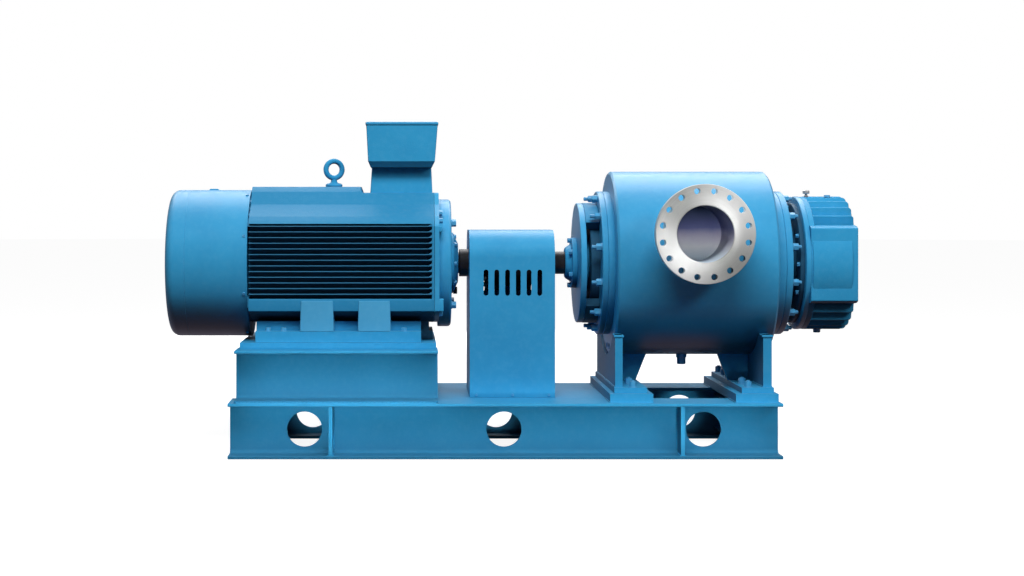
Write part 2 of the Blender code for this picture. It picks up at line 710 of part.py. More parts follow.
def pump_casing(parent):
    edge = BARREL_EDGE
    profile = [(CASING_LEFT, 0.0), (CASING_LEFT, COVER_RADIUS), (BARREL_LEFT, COVER_RADIUS)]
    profile += [(BARREL_LEFT, BARREL_RADIUS - edge), (BARREL_LEFT + edge, BARREL_RADIUS)]
    profile += [(BARREL_RIGHT - edge, BARREL_RADIUS), (BARREL_RIGHT, BARREL_RADIUS - edge)]
    profile += [(BARREL_RIGHT, COVER_RADIUS), (CASING_RIGHT, COVER_RADIUS), (CASING_RIGHT, 0.0)]
    casing = piece("pump_casing", turned(profile, ROUND), blue_paint, parent)
    ports = []
    for side in (-1, 1):
        ends = sorted((side * NOZZLE_BORE_END, side * (BARREL_RADIUS + 0.05)))
        ports.append(prism(circle((NOZZLE_X, NOZZLE_Z), NOZZLE_BORE_RADIUS, ROUND), "y", *ends))
    shape_with(casing, "DIFFERENCE", together(*ports), "ports")


def nozzle(name, side, parent):
    """Flanged branch on the side of the casing, with a bored face and a ring of bolt holes."""
    back = NOZZLE_FACE - NOZZLE_FLANGE_THICK
    weld = NOZZLE_WELD
    profile = [(NOZZLE_ROOT, NOZZLE_BORE_RADIUS), (NOZZLE_ROOT, NOZZLE_NECK_RADIUS)]
    profile += [(back - weld, NOZZLE_NECK_RADIUS), (back, NOZZLE_NECK_RADIUS + weld)]
    profile += [(back, NOZZLE_FLANGE_RADIUS), (NOZZLE_FACE, NOZZLE_FLANGE_RADIUS)]
    profile.append((NOZZLE_FACE, NOZZLE_BORE_RADIUS))
    body = turned(profile, ROUND, ring=True)
    turn = Matrix.Rotation(math.radians(side * 90.0), 4, "Z")
    place = Matrix.Translation((NOZZLE_X, 0.0, NOZZLE_Z))
    bmesh.ops.transform(body, matrix=place @ turn, verts=body.verts)
    branch = piece(name, body, bright_steel, parent)
    barrel = prism(circle((0, 0), BARREL_RADIUS + GAP, ROUND), "x", BARREL_LEFT, BARREL_RIGHT)
    shape_with(branch, "DIFFERENCE", barrel, "saddle")
    holes = []
    for hole in range(NOZZLE_BOLT_HOLES):
        x, z = polar(NOZZLE_BOLT_CIRCLE, (hole + 0.5) * 360.0 / NOZZLE_BOLT_HOLES)
        ends = sorted((side * (back - 0.02), side * (NOZZLE_FACE + 0.02)))
        centre = (NOZZLE_X + x, NOZZLE_Z + z)
        holes.append(prism(circle(centre, NOZZLE_BOLT_HOLE_RADIUS, 8), "y", *ends))
    shape_with(branch, "DIFFERENCE", together(*holes), "bolt_holes")


def drain_plug(parent):
    top = -BARREL_RADIUS - GAP
    outline = circle((DRAIN_X, 0.0), DRAIN_RADIUS, 12)
    piece("drain_plug", prism(outline, "z", top - DRAIN_LENGTH, top), blue_paint, parent)


def end_cover(parent):
    """Casing cover at the gear end, with the neck that carries the gear case."""
    left = CASING_RIGHT + GAP
    right = GEAR_DISC_LEFT - GAP
    profile = [(left, 0.0), (left, COVER_RADIUS), (END_COVER_RIGHT - COVER_EDGE, COVER_RADIUS)]
    profile += [(END_COVER_RIGHT, COVER_RADIUS - COVER_EDGE), (END_COVER_RIGHT, GEAR_NECK_RADIUS)]
    profile += [(right, GEAR_NECK_RADIUS), (right, 0.0)]
    piece("end_cover", turned(profile, ROUND), blue_paint, parent)


def gear_flange(parent):
    right = GEAR_CASE_LEFT - GAP
    profile = [(GEAR_DISC_LEFT, 0.0), (GEAR_DISC_LEFT, GEAR_DISC_RADIUS)]
    profile += [(GEAR_FLANGE_LEFT, GEAR_DISC_RADIUS), (GEAR_FLANGE_LEFT, GEAR_FLANGE_RADIUS)]
    profile += [(right, GEAR_FLANGE_RADIUS), (right, 0.0)]
    piece("gear_flange", turned(profile, ROUND), blue_paint, parent)


def gear_case_outline():
    """Round case with radial fins above and below, and plain arched sides."""
    outline = []
    for pole in (0.0, 180.0):
        for fin in range(GEAR_FIN_COUNT):
            middle = pole + (fin - (GEAR_FIN_COUNT - 1) / 2) * GEAR_FIN_PITCH
            outline.append(polar(GEAR_CASE_CORE, middle - GEAR_FIN_HALF_ANGLE))
            outline.append(polar(GEAR_CASE_RADIUS, middle - GEAR_FIN_HALF_ANGLE))
            outline.append(polar(GEAR_CASE_RADIUS, middle + GEAR_FIN_HALF_ANGLE))
            outline.append(polar(GEAR_CASE_CORE, middle + GEAR_FIN_HALF_ANGLE))
        start = pole + GEAR_SIDE_START
        end = pole + 180.0 - GEAR_SIDE_START
        outline.append(polar(GEAR_CASE_CORE, start))
        outline += [polar(GEAR_CASE_RADIUS, start + (end - start) * step / 8) for step in range(9)]
        outline.append(polar(GEAR_CASE_CORE, end))
    return outline


def gear_case(parent):
    body = prism(gear_case_outline(), "x", GEAR_CASE_LEFT, GEAR_CASE_RIGHT)
    case = piece("gear_case", body, blue_paint, parent)
    pads = []
    for side in (-1, 1):
        ends = sorted((side * (GEAR_PAD_FACE - GEAR_PAD_DEPTH), side * GEAR_PAD_FACE))
        pads.append(block((GEAR_PAD_LEFT, GEAR_PAD_RIGHT), ends, (GEAR_PAD_BOTTOM, GEAR_PAD_TOP)))
    shape_with(case, "UNION", together(*pads), "side_pads")
    start = GEAR_CASE_RIGHT - GEAR_CASE_ROUND
    limit = GEAR_CASE_RADIUS + 0.012
    rounding = arc((start, limit - GEAR_CASE_ROUND), GEAR_CASE_ROUND, 90.0, 0.0, 4)
    profile = [(GEAR_CASE_LEFT - 0.02, 0.0), (GEAR_CASE_LEFT - 0.02, limit)] + rounding[:-1]
    profile += [(GEAR_CASE_RIGHT, rounding[-1][1]), (GEAR_CASE_RIGHT, 0.0)]
    shape_with(case, "INTERSECT", turned(profile, ROUND), "rounding")


def gear_breather(parent):
    """Capped vent that stands on the case's top fin."""
    base = GEAR_CASE_RADIUS
    cap = GEAR_CASE_RADIUS + 0.004
    top = cap + BREATHER_CAP_HEIGHT
    stem = BREATHER_STEM_RADIUS
    profile = [(base, 0.0), (base, stem), (cap, stem), (cap, BREATHER_CAP_RADIUS)]
    profile += [(top - 0.004, BREATHER_CAP_RADIUS), (top, 0.010), (top, 0.0)]
    vent = turned(profile, 16)
    place = Matrix.Translation((BREATHER_X, 0.0, 0.0)) @ Matrix.Rotation(math.radians(-90.0), 4, "Y")
    bmesh.ops.transform(vent, matrix=place, verts=vent.verts)
    piece("gear_breather", vent, bright_steel, parent)


def pump_foot(name, plate, wall, gusset_low, gusset_high, parent):
    """Foot plate, cross wall that cradles the casing, and a middle gusset."""
    base = block(plate, (-FOOT_PLATE_HALF_WIDTH, FOOT_PLATE_HALF_WIDTH), (PAD_TOP, FOOT_PLATE_TOP))
    foot = piece(name, base, blue_paint, parent)
    buried = FOOT_PLATE_TOP - 0.010
    half = SADDLE_HALF_WIDTH
    upright = block(wall, (-half, half), (buried, SADDLE_TOP))
    shape_with(foot, "UNION", upright, "cross_wall")
    inner = (wall[0] + wall[1]) / 2
    outline = [(inner, buried), (gusset_low, buried), (gusset_low, FOOT_PLATE_TOP)]
    outline += [(gusset_high, GUSSET_TOP), (inner, GUSSET_TOP)]
    gusset = prism(outline, "y", -GUSSET_HALF_THICK, GUSSET_HALF_THICK)
    shape_with(foot, "UNION", gusset, "gusset")
    cradle = prism(circle((0.0, SHAFT_HEIGHT), BARREL_RADIUS + GAP, ROUND), "x", 0.3, 1.4)
    shape_with(foot, "DIFFERENCE", cradle, "cradle")


def build_skid():
    skid = reference("skid", (0.0, 0.0, 0.0))
    skid_beam("skid_beam_front", -1, skid)
    skid_beam("skid_beam_rear", 1, skid)
    for number, station in enumerate(CROSS_BEAM_STATIONS, start=1):
        cross_beam("cross_beam_" + str(number), station, skid)
    deck_plate(skid)
    pump_pad("pump_pad_left", PAD_LEFT, skid)
    pump_pad("pump_pad_right", PAD_RIGHT, skid)
    motor_stool("motor_stool_front", -1, skid)
    motor_stool("motor_stool_rear", 1, skid)
    motor_bed_plate(skid)
    guard_wrap(skid)
    guard_end("guard_end_motor", GUARD_LEFT + GAP, HUB_RADIUS + 0.010, skid)
    guard_end("guard_end_pump", GUARD_RIGHT - GUARD_SHEET - GAP, PUMP_SHAFT_RADIUS + 0.010, skid)
    pump_foot("pump_foot_left", (0.459, 0.608), (0.465, 0.499), 0.606, 0.656, skid)
    pump_foot("pump_foot_right", (1.038, 1.184), (1.139, 1.178), 1.041, 0.995, skid)


def build_motor():
    motor = reference("motor_line", (0.0, 0.0, SHAFT_HEIGHT))
    motor_foot("motor_foot_front", -1, motor)
    motor_foot("motor_foot_rear", 1, motor)
    motor_frame(motor)
    motor_nondrive_shield(motor)
    motor_drive_shield(motor)
    motor_bearing_cap(motor)
    fan_cowl(motor)
    terminal_neck(motor)
    terminal_box(motor)
    terminal_lid(motor)
    eye_bolt(motor)


def build_rotor():
    rotor = reference("rotor_line", (0.0, 0.0, SHAFT_HEIGHT))
    motor_fan(rotor)
    motor_shaft(rotor)
    coupling(rotor)
    pump_shaft(rotor)


def build_pump():
    pump = reference("pump_line", (0.0, 0.0, SHAFT_HEIGHT))
    pump_bearing_cap(pump)
    bearing_disc(pump)
    lantern_segment("lantern_top", 0.0, pump)
    lantern_segment("lantern_bottom", 180.0, pump)
    drive_cover(pump)
    pump_casing(pump)
    nozzle("nozzle_front", -1, pump)
    nozzle("nozzle_rear", 1, pump)
    drain_plug(pump)
    end_cover(pump)
    gear_flange(pump)
    gear_case(pump)
    gear_breather(pump)


clear_scene()
build_skid()
build_motor()
build_rotor()
build_pump()
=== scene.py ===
"""The looks of a twin screw pump set: blue enamel on castings, sheet and beams, bare steel nozzles, dark shafts."""

import math

import bmesh
import bpy
from mathutils import Matrix, Vector


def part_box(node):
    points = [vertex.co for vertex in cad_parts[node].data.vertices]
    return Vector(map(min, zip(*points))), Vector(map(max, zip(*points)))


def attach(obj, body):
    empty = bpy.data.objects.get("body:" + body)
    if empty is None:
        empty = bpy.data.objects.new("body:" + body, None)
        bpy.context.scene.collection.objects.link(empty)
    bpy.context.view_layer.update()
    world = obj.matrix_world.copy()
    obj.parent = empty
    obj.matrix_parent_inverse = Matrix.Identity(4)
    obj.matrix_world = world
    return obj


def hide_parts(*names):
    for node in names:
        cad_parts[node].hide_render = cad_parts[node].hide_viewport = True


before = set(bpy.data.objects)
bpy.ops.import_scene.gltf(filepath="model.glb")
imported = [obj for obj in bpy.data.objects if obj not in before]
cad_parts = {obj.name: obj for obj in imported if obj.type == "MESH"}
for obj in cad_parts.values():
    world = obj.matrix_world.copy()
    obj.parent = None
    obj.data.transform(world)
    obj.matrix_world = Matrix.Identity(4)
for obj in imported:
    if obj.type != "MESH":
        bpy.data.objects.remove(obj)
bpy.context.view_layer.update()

STATIC = "pump_set"
TURNING = "rotor"

# Camera, in the photograph's frame of 1024 by 576
FRAME_WIDTH = 1024
FRAME_HEIGHT = 576
FOCAL_PIXELS = 1850
AXIS_PIXEL_X = 406
AXIS_PIXEL_Y = 208
EYE = Vector((-0.487, -8.82, 1.131))
SENSOR = 36.0

# Roundness of turned pieces
FINE = 160
MIDDLE = 96
SMALL = 48

SHAFT_Z = sum(corner.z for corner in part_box("motor_shaft")) / 2


class Wire:
    """An output socket. Arithmetic on it adds Math nodes to its material."""

    def __init__(self, finish, socket):
        self.finish = finish
        self.socket = socket

    def math(self, operation, first, second=None):
        values = {0: first} if second is None else {0: first, 1: second}
        return self.finish.node("Math", {"operation": operation}, values)

    def __add__(self, other):
        return self.math("ADD", self, other)

    def __radd__(self, other):
        return self.math("ADD", other, self)

    def __sub__(self, other):
        return self.math("SUBTRACT", self, other)

    def __rsub__(self, other):
        return self.math("SUBTRACT", other, self)

    def __mul__(self, other):
        return self.math("MULTIPLY", self, other)

    def __rmul__(self, other):
        return self.math("MULTIPLY", other, self)

    def __truediv__(self, other):
        return self.math("DIVIDE", self, other)

    def __pow__(self, other):
        return self.math("POWER", self, other)

    def root(self):
        return self.math("SQRT", self)

    def between(self, low, high):
        """0 below low, 1 above high, with an even rise between them."""
        return self.finish.node("MapRange", {"clamp": True}, {0: self, 1: low, 2: high})


class Finish:
    """A surface finish: one material, its Principled shader and the slot it belongs to."""

    def __init__(self, name, slot, **constants):
        self.material = bpy.data.materials.new(name)
        self.material.use_nodes = True
        self.slot = slot
        self.tree = self.material.node_tree
        self.shader = self.tree.nodes["Principled BSDF"]
        for socket, value in constants.items():
            self.shader.inputs[socket.replace("_", " ")].default_value = value

    def node(self, kind, settings=None, values=None, output=0):
        """Adds a node: its settings first, then a value or a wire for each named or numbered input."""
        made = self.tree.nodes.new("ShaderNode" + kind)
        for name, value in (settings or {}).items():
            if name == "stops":
                self.place_stops(made.color_ramp, value)
            else:
                setattr(made, name, value)
        for name, value in (values or {}).items():
            self.join(value, made.inputs[name])
        return Wire(self, made.outputs[output])

    def place_stops(self, ramp, stops):
        while len(ramp.elements) < len(stops):
            ramp.elements.new(0.5)
        for element, (position, colour) in zip(ramp.elements, stops):
            element.position = position
            element.color = colour

    def join(self, value, socket):
        if isinstance(value, Wire):
            self.tree.links.new(value.socket, socket)
        else:
            socket.default_value = value

    def place(self):
        return self.node("TexCoord", output="Object")

    def split(self, vector):
        return [self.node("SeparateXYZ", values={0: vector}, output=axis) for axis in range(3)]

    def noise(self, scale, detail=3.0, roughness=0.5, where=None):
        values = {"Vector": where or self.place(), "Scale": scale, "Detail": detail, "Roughness": roughness}
        return self.node("TexNoise", values=values)

    def blend(self, factor, first, second):
        """A colour between two others."""
        return self.node("Mix", {"data_type": "RGBA"}, {0: factor, 6: first, 7: second}, output=2)

    def edges(self, radius):
        """Rises from 0 on flat stretches to 1 on outer and inner edges."""
        soft = self.node("Bevel", {"samples": 4}, {"Radius": radius})
        true = self.node("NewGeometry", output="True Normal")
        even = self.node("VectorMath", {"operation": "DOT_PRODUCT"}, {0: soft, 1: true}, output="Value")
        return (1.0 - even).between(0.02, 0.25)

    def facing_up(self):
        normal = self.node("NewGeometry", output="Normal")
        return self.split(normal)[2]

    def bump(self, height, distance, strength=1.0, under=None):
        values = {"Height": height, "Distance": distance, "Strength": strength}
        if under is not None:
            values["Normal"] = under
        return self.node("Bump", values=values)

    def set(self, **wires):
        """Joins wires, or sets plain values, on the shader's own sockets."""
        for socket, wire in wires.items():
            self.join(wire, self.shader.inputs[socket.replace("_", " ")])
        return self


def rgb(red, green, blue):
    return (red, green, blue, 1.0)


ENAMEL = rgb(0.036, 0.325, 0.600)
ENAMEL_DEEP = rgb(0.028, 0.275, 0.530)
ENAMEL_PALE = rgb(0.120, 0.420, 0.660)
ENAMEL_DUST = rgb(0.200, 0.360, 0.480)
# Painted shade: the near black that the enamel is blended to wherever shade is painted into it
PAINTED_SHADE = rgb(0.014, 0.013, 0.018)


def enamel(name, slot, grain_scale, grain_depth, shade=0.0, painted_light=0.0, edge=0.55, wear_and_highlight_colour=ENAMEL_PALE, gloss=1.0, shade_all_over=0.0,
           shade_fade=None, shade_on_left=0.0):
    """Sprayed blue enamel over a surface whose own grain shows through, with painted shade on what faces down.

    A shade fade is the height where a painted shade towards the bottom starts and the height where it is darkest.
    """
    made = Finish(name, slot, Coat_Roughness=0.26, IOR=1.25 + 0.20 * gloss)
    patches = made.noise(2.6, 4.0, 0.6)
    mottle = made.noise(38.0, 3.0, 0.6)
    pale_edges = made.edges(0.0035)
    speckle = made.noise(150.0, 2.0, 0.7)
    up = made.facing_up()
    dust = up.between(0.55, 1.0) * mottle.between(0.35, 0.75)
    # Painted shade: faces turned down grow dark
    under = (0.0 - up).between(0.40, 0.85) * 0.92
    colour = made.blend(patches.between(0.35, 0.68) * (1.0 - shade), ENAMEL_DEEP, ENAMEL)
    # A second amount paints the whole piece paler towards ENAMEL_PALE: painted light
    colour = made.blend(mottle.between(0.45, 0.8) * 0.16 + painted_light, colour, ENAMEL_PALE)
    colour = made.blend(dust * 0.10, colour, ENAMEL_DUST)
    # Paler edges: paint wear, and also a painted highlight along the edges
    colour = made.blend(pale_edges * speckle.between(0.38, 0.62) * edge, colour, wear_and_highlight_colour)
    # Painted shade on downward faces, and over the whole piece by the amount of painted shade asked for
    colour = made.blend(under * (1.0 - shade_all_over) + shade_all_over, colour, PAINTED_SHADE)
    # Painted shade on faces turned to the left
    if shade_on_left:
        aside = made.split(made.node("NewGeometry", output="Normal"))[0]
        colour = made.blend((0.0 - aside).between(0.6, 0.95) * shade_on_left, colour, PAINTED_SHADE)
    # Painted shade that darkens the piece towards the bottom, between two heights
    if shade_fade:
        height = made.split(made.place())[2]
        colour = made.blend(height.between(*shade_fade) * 0.45, colour, PAINTED_SHADE)
    rough = 0.44 - 0.12 * gloss + patches * 0.10 + mottle * 0.08 + dust * 0.12
    peel = made.noise(520.0, 2.0, 0.5)
    skin = made.bump(peel, 0.00018, 0.6)
    cast = made.bump(made.noise(grain_scale, 4.0, 0.6), grain_depth, 0.8, skin)
    return made.set(Base_Color=colour, Roughness=rough, Coat_Weight=(0.30 - dust * 0.2) * gloss, Normal=cast)


def bare_steel(name, slot, across, centre):
    """Turned steel: fine grooves about an axis along Y, with the two bright fans of its highlight painted into its
    colour.
    """
    made = Finish(name, slot, Metallic=0.35, IOR=1.7)
    x, y, z = made.split(made.place())
    aside = x - centre.x
    above = z - centre.z
    square = aside ** 2.0 + above ** 2.0
    radius = square.root()
    painted_fans = (aside * above / square + 0.5)
    outward = made.node("VectorMath", {"operation": "NORMALIZE"}, {0: made.node("CombineXYZ", values={0: aside, 2: above})})
    grooves = made.noise(1.0, 2.0, 0.5, made.node("CombineXYZ", values={0: radius * 1400.0, 1: aside * 2.0, 2: above * 2.0}))
    stain = made.noise(9.0, 4.0, 0.6)
    lean = made.node("VectorMath", {"operation": "SCALE"}, {0: outward, "Scale": (grooves - 0.5) * 0.6})
    normal = made.node("NewGeometry", output="Normal")
    leaned = made.node("VectorMath", {"operation": "NORMALIZE"}, {0: made.node("VectorMath", {"operation": "ADD"}, {0: normal, 1: lean})})
    # Painted highlight: the two bright fans of a turned face, with darker steel between them
    colour = made.blend(painted_fans.between(0.02, 0.98), rgb(0.33, 0.34, 0.325), rgb(0.95, 0.96, 0.94))
    colour = made.blend(stain.between(0.45, 0.8) * 0.25, colour, rgb(0.52, 0.50, 0.46))
    colour = made.blend(grooves.between(0.55, 0.8) * 0.25, colour, rgb(0.90, 0.90, 0.88))
    rough = 0.34 + stain * 0.10
    return made.set(Base_Color=colour, Roughness=rough, Normal=leaned)


def port_steel(name, slot, centre, reach):
    """Smooth steel inside a branch, with painted shade darkening it towards its top and painted light towards its
    bottom.
    """
    made = Finish(name, slot, Metallic=0.25)
    z = made.split(made.place())[2]
    cloud = made.noise(16.0, 3.0, 0.5)
    height = ((z - centre.z) / (2.0 * reach) + 0.5 + (cloud - 0.5) * 0.08)
    # Painted shade towards the top of the lining and painted light towards its bottom
    stops = ((0.02, rgb(0.66, 0.80, 0.90)), (0.26, rgb(0.72, 0.74, 0.78)), (0.44, rgb(0.40, 0.38, 0.50)), (0.60, rgb(0.10, 0.12, 0.30)), (0.95, rgb(0.001, 0.014, 0.045)))
    painted_light_and_shade = made.node("ValToRGB", {"stops": stops}, {0: height})
    grain = made.noise(240.0, 3.0, 0.6)
    return made.set(Base_Color=painted_light_and_shade, Roughness=0.42 + cloud * 0.12, Normal=made.bump(grain, 0.00010, 0.5))


def dark_steel(name, slot):
    """Oiled dark shaft steel with turning marks about the shaft line."""
    made = Finish(name, slot, Metallic=0.85)
    x, y, z = made.split(made.place())
    marks = made.noise(1.0, 5.0, 0.7, made.node("CombineXYZ", values={0: x * 700.0, 1: y * 6.0, 2: z * 6.0}))
    stain = made.noise(14.0, 4.0, 0.6)
    colour = made.blend(stain.between(0.35, 0.7), rgb(0.018, 0.018, 0.022), rgb(0.060, 0.058, 0.060))
    colour = made.blend(made.edges(0.002) * 0.6, colour, rgb(0.20, 0.19, 0.18))
    rough = 0.30 + stain * 0.18
    return made.set(Base_Color=colour, Roughness=rough, Normal=made.bump(marks, 0.00010, 0.7))


def fastener_paint(name, slot):
    """Enamel on bolts and nuts, thinner and paler on their corners."""
    made = Finish(name, slot, Coat_Roughness=0.15, Coat_Weight=0.25)
    pale_edges = made.edges(0.0015)
    fleck = made.noise(260.0, 3.0, 0.6)
    patches = made.noise(24.0, 2.0, 0.5)
    colour = made.blend(patches.between(0.3, 0.7), rgb(0.030, 0.270, 0.540), rgb(0.075, 0.350, 0.610))
    colour = made.blend(pale_edges * fleck.between(0.35, 0.6) * 0.75, colour, rgb(0.34, 0.50, 0.60))
    rough = 0.26 + fleck * 0.16
    return made.set(Base_Color=colour, Roughness=rough, Normal=made.bump(fleck, 0.00020, 0.5))


def plain_metal(name, slot, dark, light, rough):
    """Small bare fittings and cast aluminium."""
    made = Finish(name, slot, Metallic=0.6)
    grain = made.noise(180.0, 4.0, 0.6)
    stain = made.noise(22.0, 3.0, 0.6)
    colour = made.blend(stain.between(0.3, 0.7), dark, light)
    colour = made.blend(made.edges(0.0012) * 0.5, colour, rgb(0.72, 0.71, 0.69))
    return made.set(Base_Color=colour, Roughness=rough + grain * 0.15, Normal=made.bump(grain, 0.00015, 0.5))


def gasket_black(name, slot):
    made = Finish(name, slot, Specular_IOR_Level=0.3)
    grain = made.noise(300.0, 3.0, 0.6)
    colour = made.blend(grain, rgb(0.008, 0.008, 0.009), rgb(0.028, 0.028, 0.030))
    return made.set(Base_Color=colour, Roughness=0.65 + grain * 0.2, Normal=made.bump(grain, 0.0002, 0.6))


NOZZLE_LOW, NOZZLE_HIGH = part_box("nozzle_front")
NOZZLE_CENTRE = (NOZZLE_LOW + NOZZLE_HIGH) / 2
NOZZLE_RADIUS = (NOZZLE_HIGH.x - NOZZLE_LOW.x) / 2

SHEET = enamel("enamel_on_sheet", "blue_paint", 60.0, 0.0004, gloss=0.75)
CAST = enamel("enamel_on_casting", "blue_paint", 210.0, 0.0010, gloss=0.30)
# Legs painted lighter: painted light, for faces that catch more light from above
LEGS_PAINT = enamel("enamel_on_legs", "blue_paint", 210.0, 0.0010, painted_light=0.45, gloss=0.3)
# Painted shade: enamel for recesses and gaps, darkened all over where shade falls
RECESS = enamel("enamel_in_recess_with_painted_shade", "blue_paint", 210.0, 0.0010, 0.8, gloss=0.3, shade_all_over=0.75)
# Fins: painted shade over the whole finish, and grey-blue tips that are a painted highlight along with wear
FINNED = enamel("enamel_on_fins", "blue_paint", 210.0, 0.0006, 1.0, 0.0, 1.0, rgb(0.15, 0.22, 0.32), gloss=0.5, shade_all_over=0.30)
LID = enamel("enamel_on_lid", "blue_paint", 120.0, 0.0006, 1.0)
TURNED = enamel("enamel_on_turned_steel", "blue_paint", 30.0, 0.0003)
# Rolled steel: painted shade on faces turned to the left
ROLLED = enamel("enamel_on_rolled_steel", "base_paint", 42.0, 0.0008, 0.35, 0.0, 0.75, gloss=0.25, shade_on_left=0.55)
# Skid beams and stools: painted shade darkening them towards the bottom, between the two fade heights
SKID_STEEL = enamel("enamel_on_skid", "base_paint", 42.0, 0.0008, 0.35, 0.0, 0.9, gloss=0.25, shade_fade=(0.19, 0.03))
STOOL_STEEL = enamel("enamel_on_stools", "base_paint", 42.0, 0.0008, 0.35, 0.0, 0.9, gloss=0.25, shade_fade=(0.44, 0.28))
# Painted shade darkens the whole motor frame casting
FRAME = enamel("enamel_on_motor_frame", "blue_paint", 210.0, 0.0010, 1.0, gloss=0.15, shade_all_over=0.20)
BOLTS = fastener_paint("enamel_on_fasteners", "blue_paint")
STEEL = bare_steel("turned_bare_steel", "bright_steel", NOZZLE_RADIUS, NOZZLE_CENTRE)
LINING = port_steel("steel_port_lining", "bright_steel", NOZZLE_CENTRE, 0.127)
SHAFT = dark_steel("oiled_shaft_steel", "dark_steel")
ZINC = plain_metal("zinc_plated_steel", "bright_steel", rgb(0.42, 0.42, 0.43), rgb(0.62, 0.62, 0.62), 0.28)
FAN_METAL = plain_metal("dark_fan_casting", "dark_steel", rgb(0.05, 0.05, 0.055), rgb(0.12, 0.12, 0.13), 0.45)
GASKET = gasket_black("gasket_rubber", "blue_paint")


# Outlines and solids
def arc(centre, radius, start, end, steps):
    """Points on an arc, with angles in degrees from the first outline coordinate."""
    points = []
    for step in range(steps + 1):
        angle = math.radians(start + (end - start) * step / steps)
        points.append((centre[0] + radius * math.cos(angle), centre[1] + radius * math.sin(angle)))
    return points


def circle(centre, radius, steps):
    return arc(centre, radius, 0.0, 360.0, steps)[:-1]


def polar(radius, angle):
    """A (y, z) point at an angle in degrees from the vertical."""
    turn = math.radians(angle)
    return (radius * math.sin(turn), radius * math.cos(turn))


def rounded(points, radius, closed=False, steps=3):
    """The outline with each corner turned into a small curve, and its open ends kept."""
    count = len(points)
    out = []
    for index, point in enumerate(points):
        if not closed and index in (0, count - 1):
            out.append(point)
            continue
        here = Vector(point)
        back = Vector(points[index - 1]) - here
        ahead = Vector(points[(index + 1) % count]) - here
        reach = min(radius, back.length * 0.45, ahead.length * 0.45)
        first = here + back.normalized() * reach
        last = here + ahead.normalized() * reach
        for step in range(steps + 1):
            t = step / steps
            spot = first * (1 - t) ** 2 + here * (2 * t * (1 - t)) + last * t ** 2
            out.append((spot.x, spot.y))
    return out


def along(axis, u, v, w):
    """A point from two outline coordinates and the distance along the axis."""
    if axis == "x":
        return (w, u, v)
    if axis == "y":
        return (u, w, v)
    return (u, v, w)


def prism(outline, axis, low, high):
    """A flat outline extruded along an axis."""
    bm = bmesh.new()
    ring = [bm.verts.new(along(axis, u, v, low)) for u, v in outline]
    face = bm.faces.new(ring)
    grown = bmesh.ops.extrude_face_region(bm, geom=[face])
    moved = [part for part in grown["geom"] if isinstance(part, bmesh.types.BMVert)]
    bmesh.ops.translate(bm, verts=moved, vec=Vector(along(axis, 0, 0, high - low)))
    bmesh.ops.recalc_face_normals(bm, faces=bm.faces)
    return bm


def block(x, y, z):
    """A box from its two ends on each axis, in either order."""
    x, y, z = sorted(x), sorted(y), sorted(z)
    outline = [(x[0], y[0]), (x[1], y[0]), (x[1], y[1]), (x[0], y[1])]
    return prism(outline, "z", z[0], z[1])


def lathe(profile, steps, ring=False):
    """A profile of (x, radius) points turned about the X axis. An open profile starts and ends on the axis."""
    bm = bmesh.new()
    rows = []
    for x, radius in profile:
        if radius < 1e-6:
            rows.append([bm.verts.new((x, 0.0, 0.0))])
            continue
        row = []
        for step in range(steps):
            y, z = polar(radius, 360.0 * step / steps)
            row.append(bm.verts.new((x, y, z)))
        rows.append(row)
    pairs = list(zip(rows, rows[1:]))
    if ring:
        pairs.append((rows[-1], rows[0]))
    for first, second in pairs:
        for step in range(steps):
            after = (step + 1) % steps
            corners = [first[step % len(first)], first[after % len(first)]]
            corners += [second[after % len(second)], second[step % len(second)]]
            corners = list(dict.fromkeys(corners))
            if len(corners) > 2:
                bm.faces.new(corners)
    bmesh.ops.recalc_face_normals(bm, faces=bm.faces)
    return bm


def moved(bm, matrix):
    bmesh.ops.transform(bm, matrix=matrix, verts=bm.verts)
    return bm


def at_shaft(bm):
    return moved(bm, Matrix.Translation((0.0, 0.0, SHAFT_Z)))


def pointing(place, direction):
    """Carries a shape drawn along +X to a place, and turns its X to a direction."""
    turn = Vector((1, 0, 0)).rotation_difference(Vector(direction)).to_matrix().to_4x4()
    return Matrix.Translation(place) @ turn


def together(*parts):
    """One mesh of several closed shells."""
    whole = bmesh.new()
    for part in parts:
        scratch = bpy.data.meshes.new("scratch")
        part.to_mesh(scratch)
        part.free()
        whole.from_mesh(scratch)
        bpy.data.meshes.remove(scratch)
    return whole


def loft(levels, axis="z"):
    """A solid through closed outlines of equal length, each with its distance along the axis."""
    bm = bmesh.new()
    rings = [[bm.verts.new(along(axis, u, v, w)) for u, v in outline] for outline, w in levels]
    bm.faces.new(rings[0])
    bm.faces.new(rings[-1])
    for lower, upper in zip(rings, rings[1:]):
        for side in range(len(lower)):
            after = (side + 1) % len(lower)
            bm.faces.new((lower[side], lower[after], upper[after], upper[side]))
    bmesh.ops.recalc_face_normals(bm, faces=bm.faces)
    return bm


def rectangle(x, y, corner=0.0, steps=3):
    """An upright rectangle outline with rounded corners."""
    points = [(x[0], y[0]), (x[1], y[0]), (x[1], y[1]), (x[0], y[1])]
    if not corner:
        return points
    return rounded(points, corner, closed=True, steps=steps)


def mesh_object(name, bm, sharp=32):
    mesh = bpy.data.meshes.new(name)
    bm.to_mesh(mesh)
    bm.free()
    mesh.shade_smooth()
    mesh.set_sharp_from_angle(angle=math.radians(sharp))
    made = bpy.data.objects.new(name, mesh)
    bpy.context.scene.collection.objects.link(made)
    return made


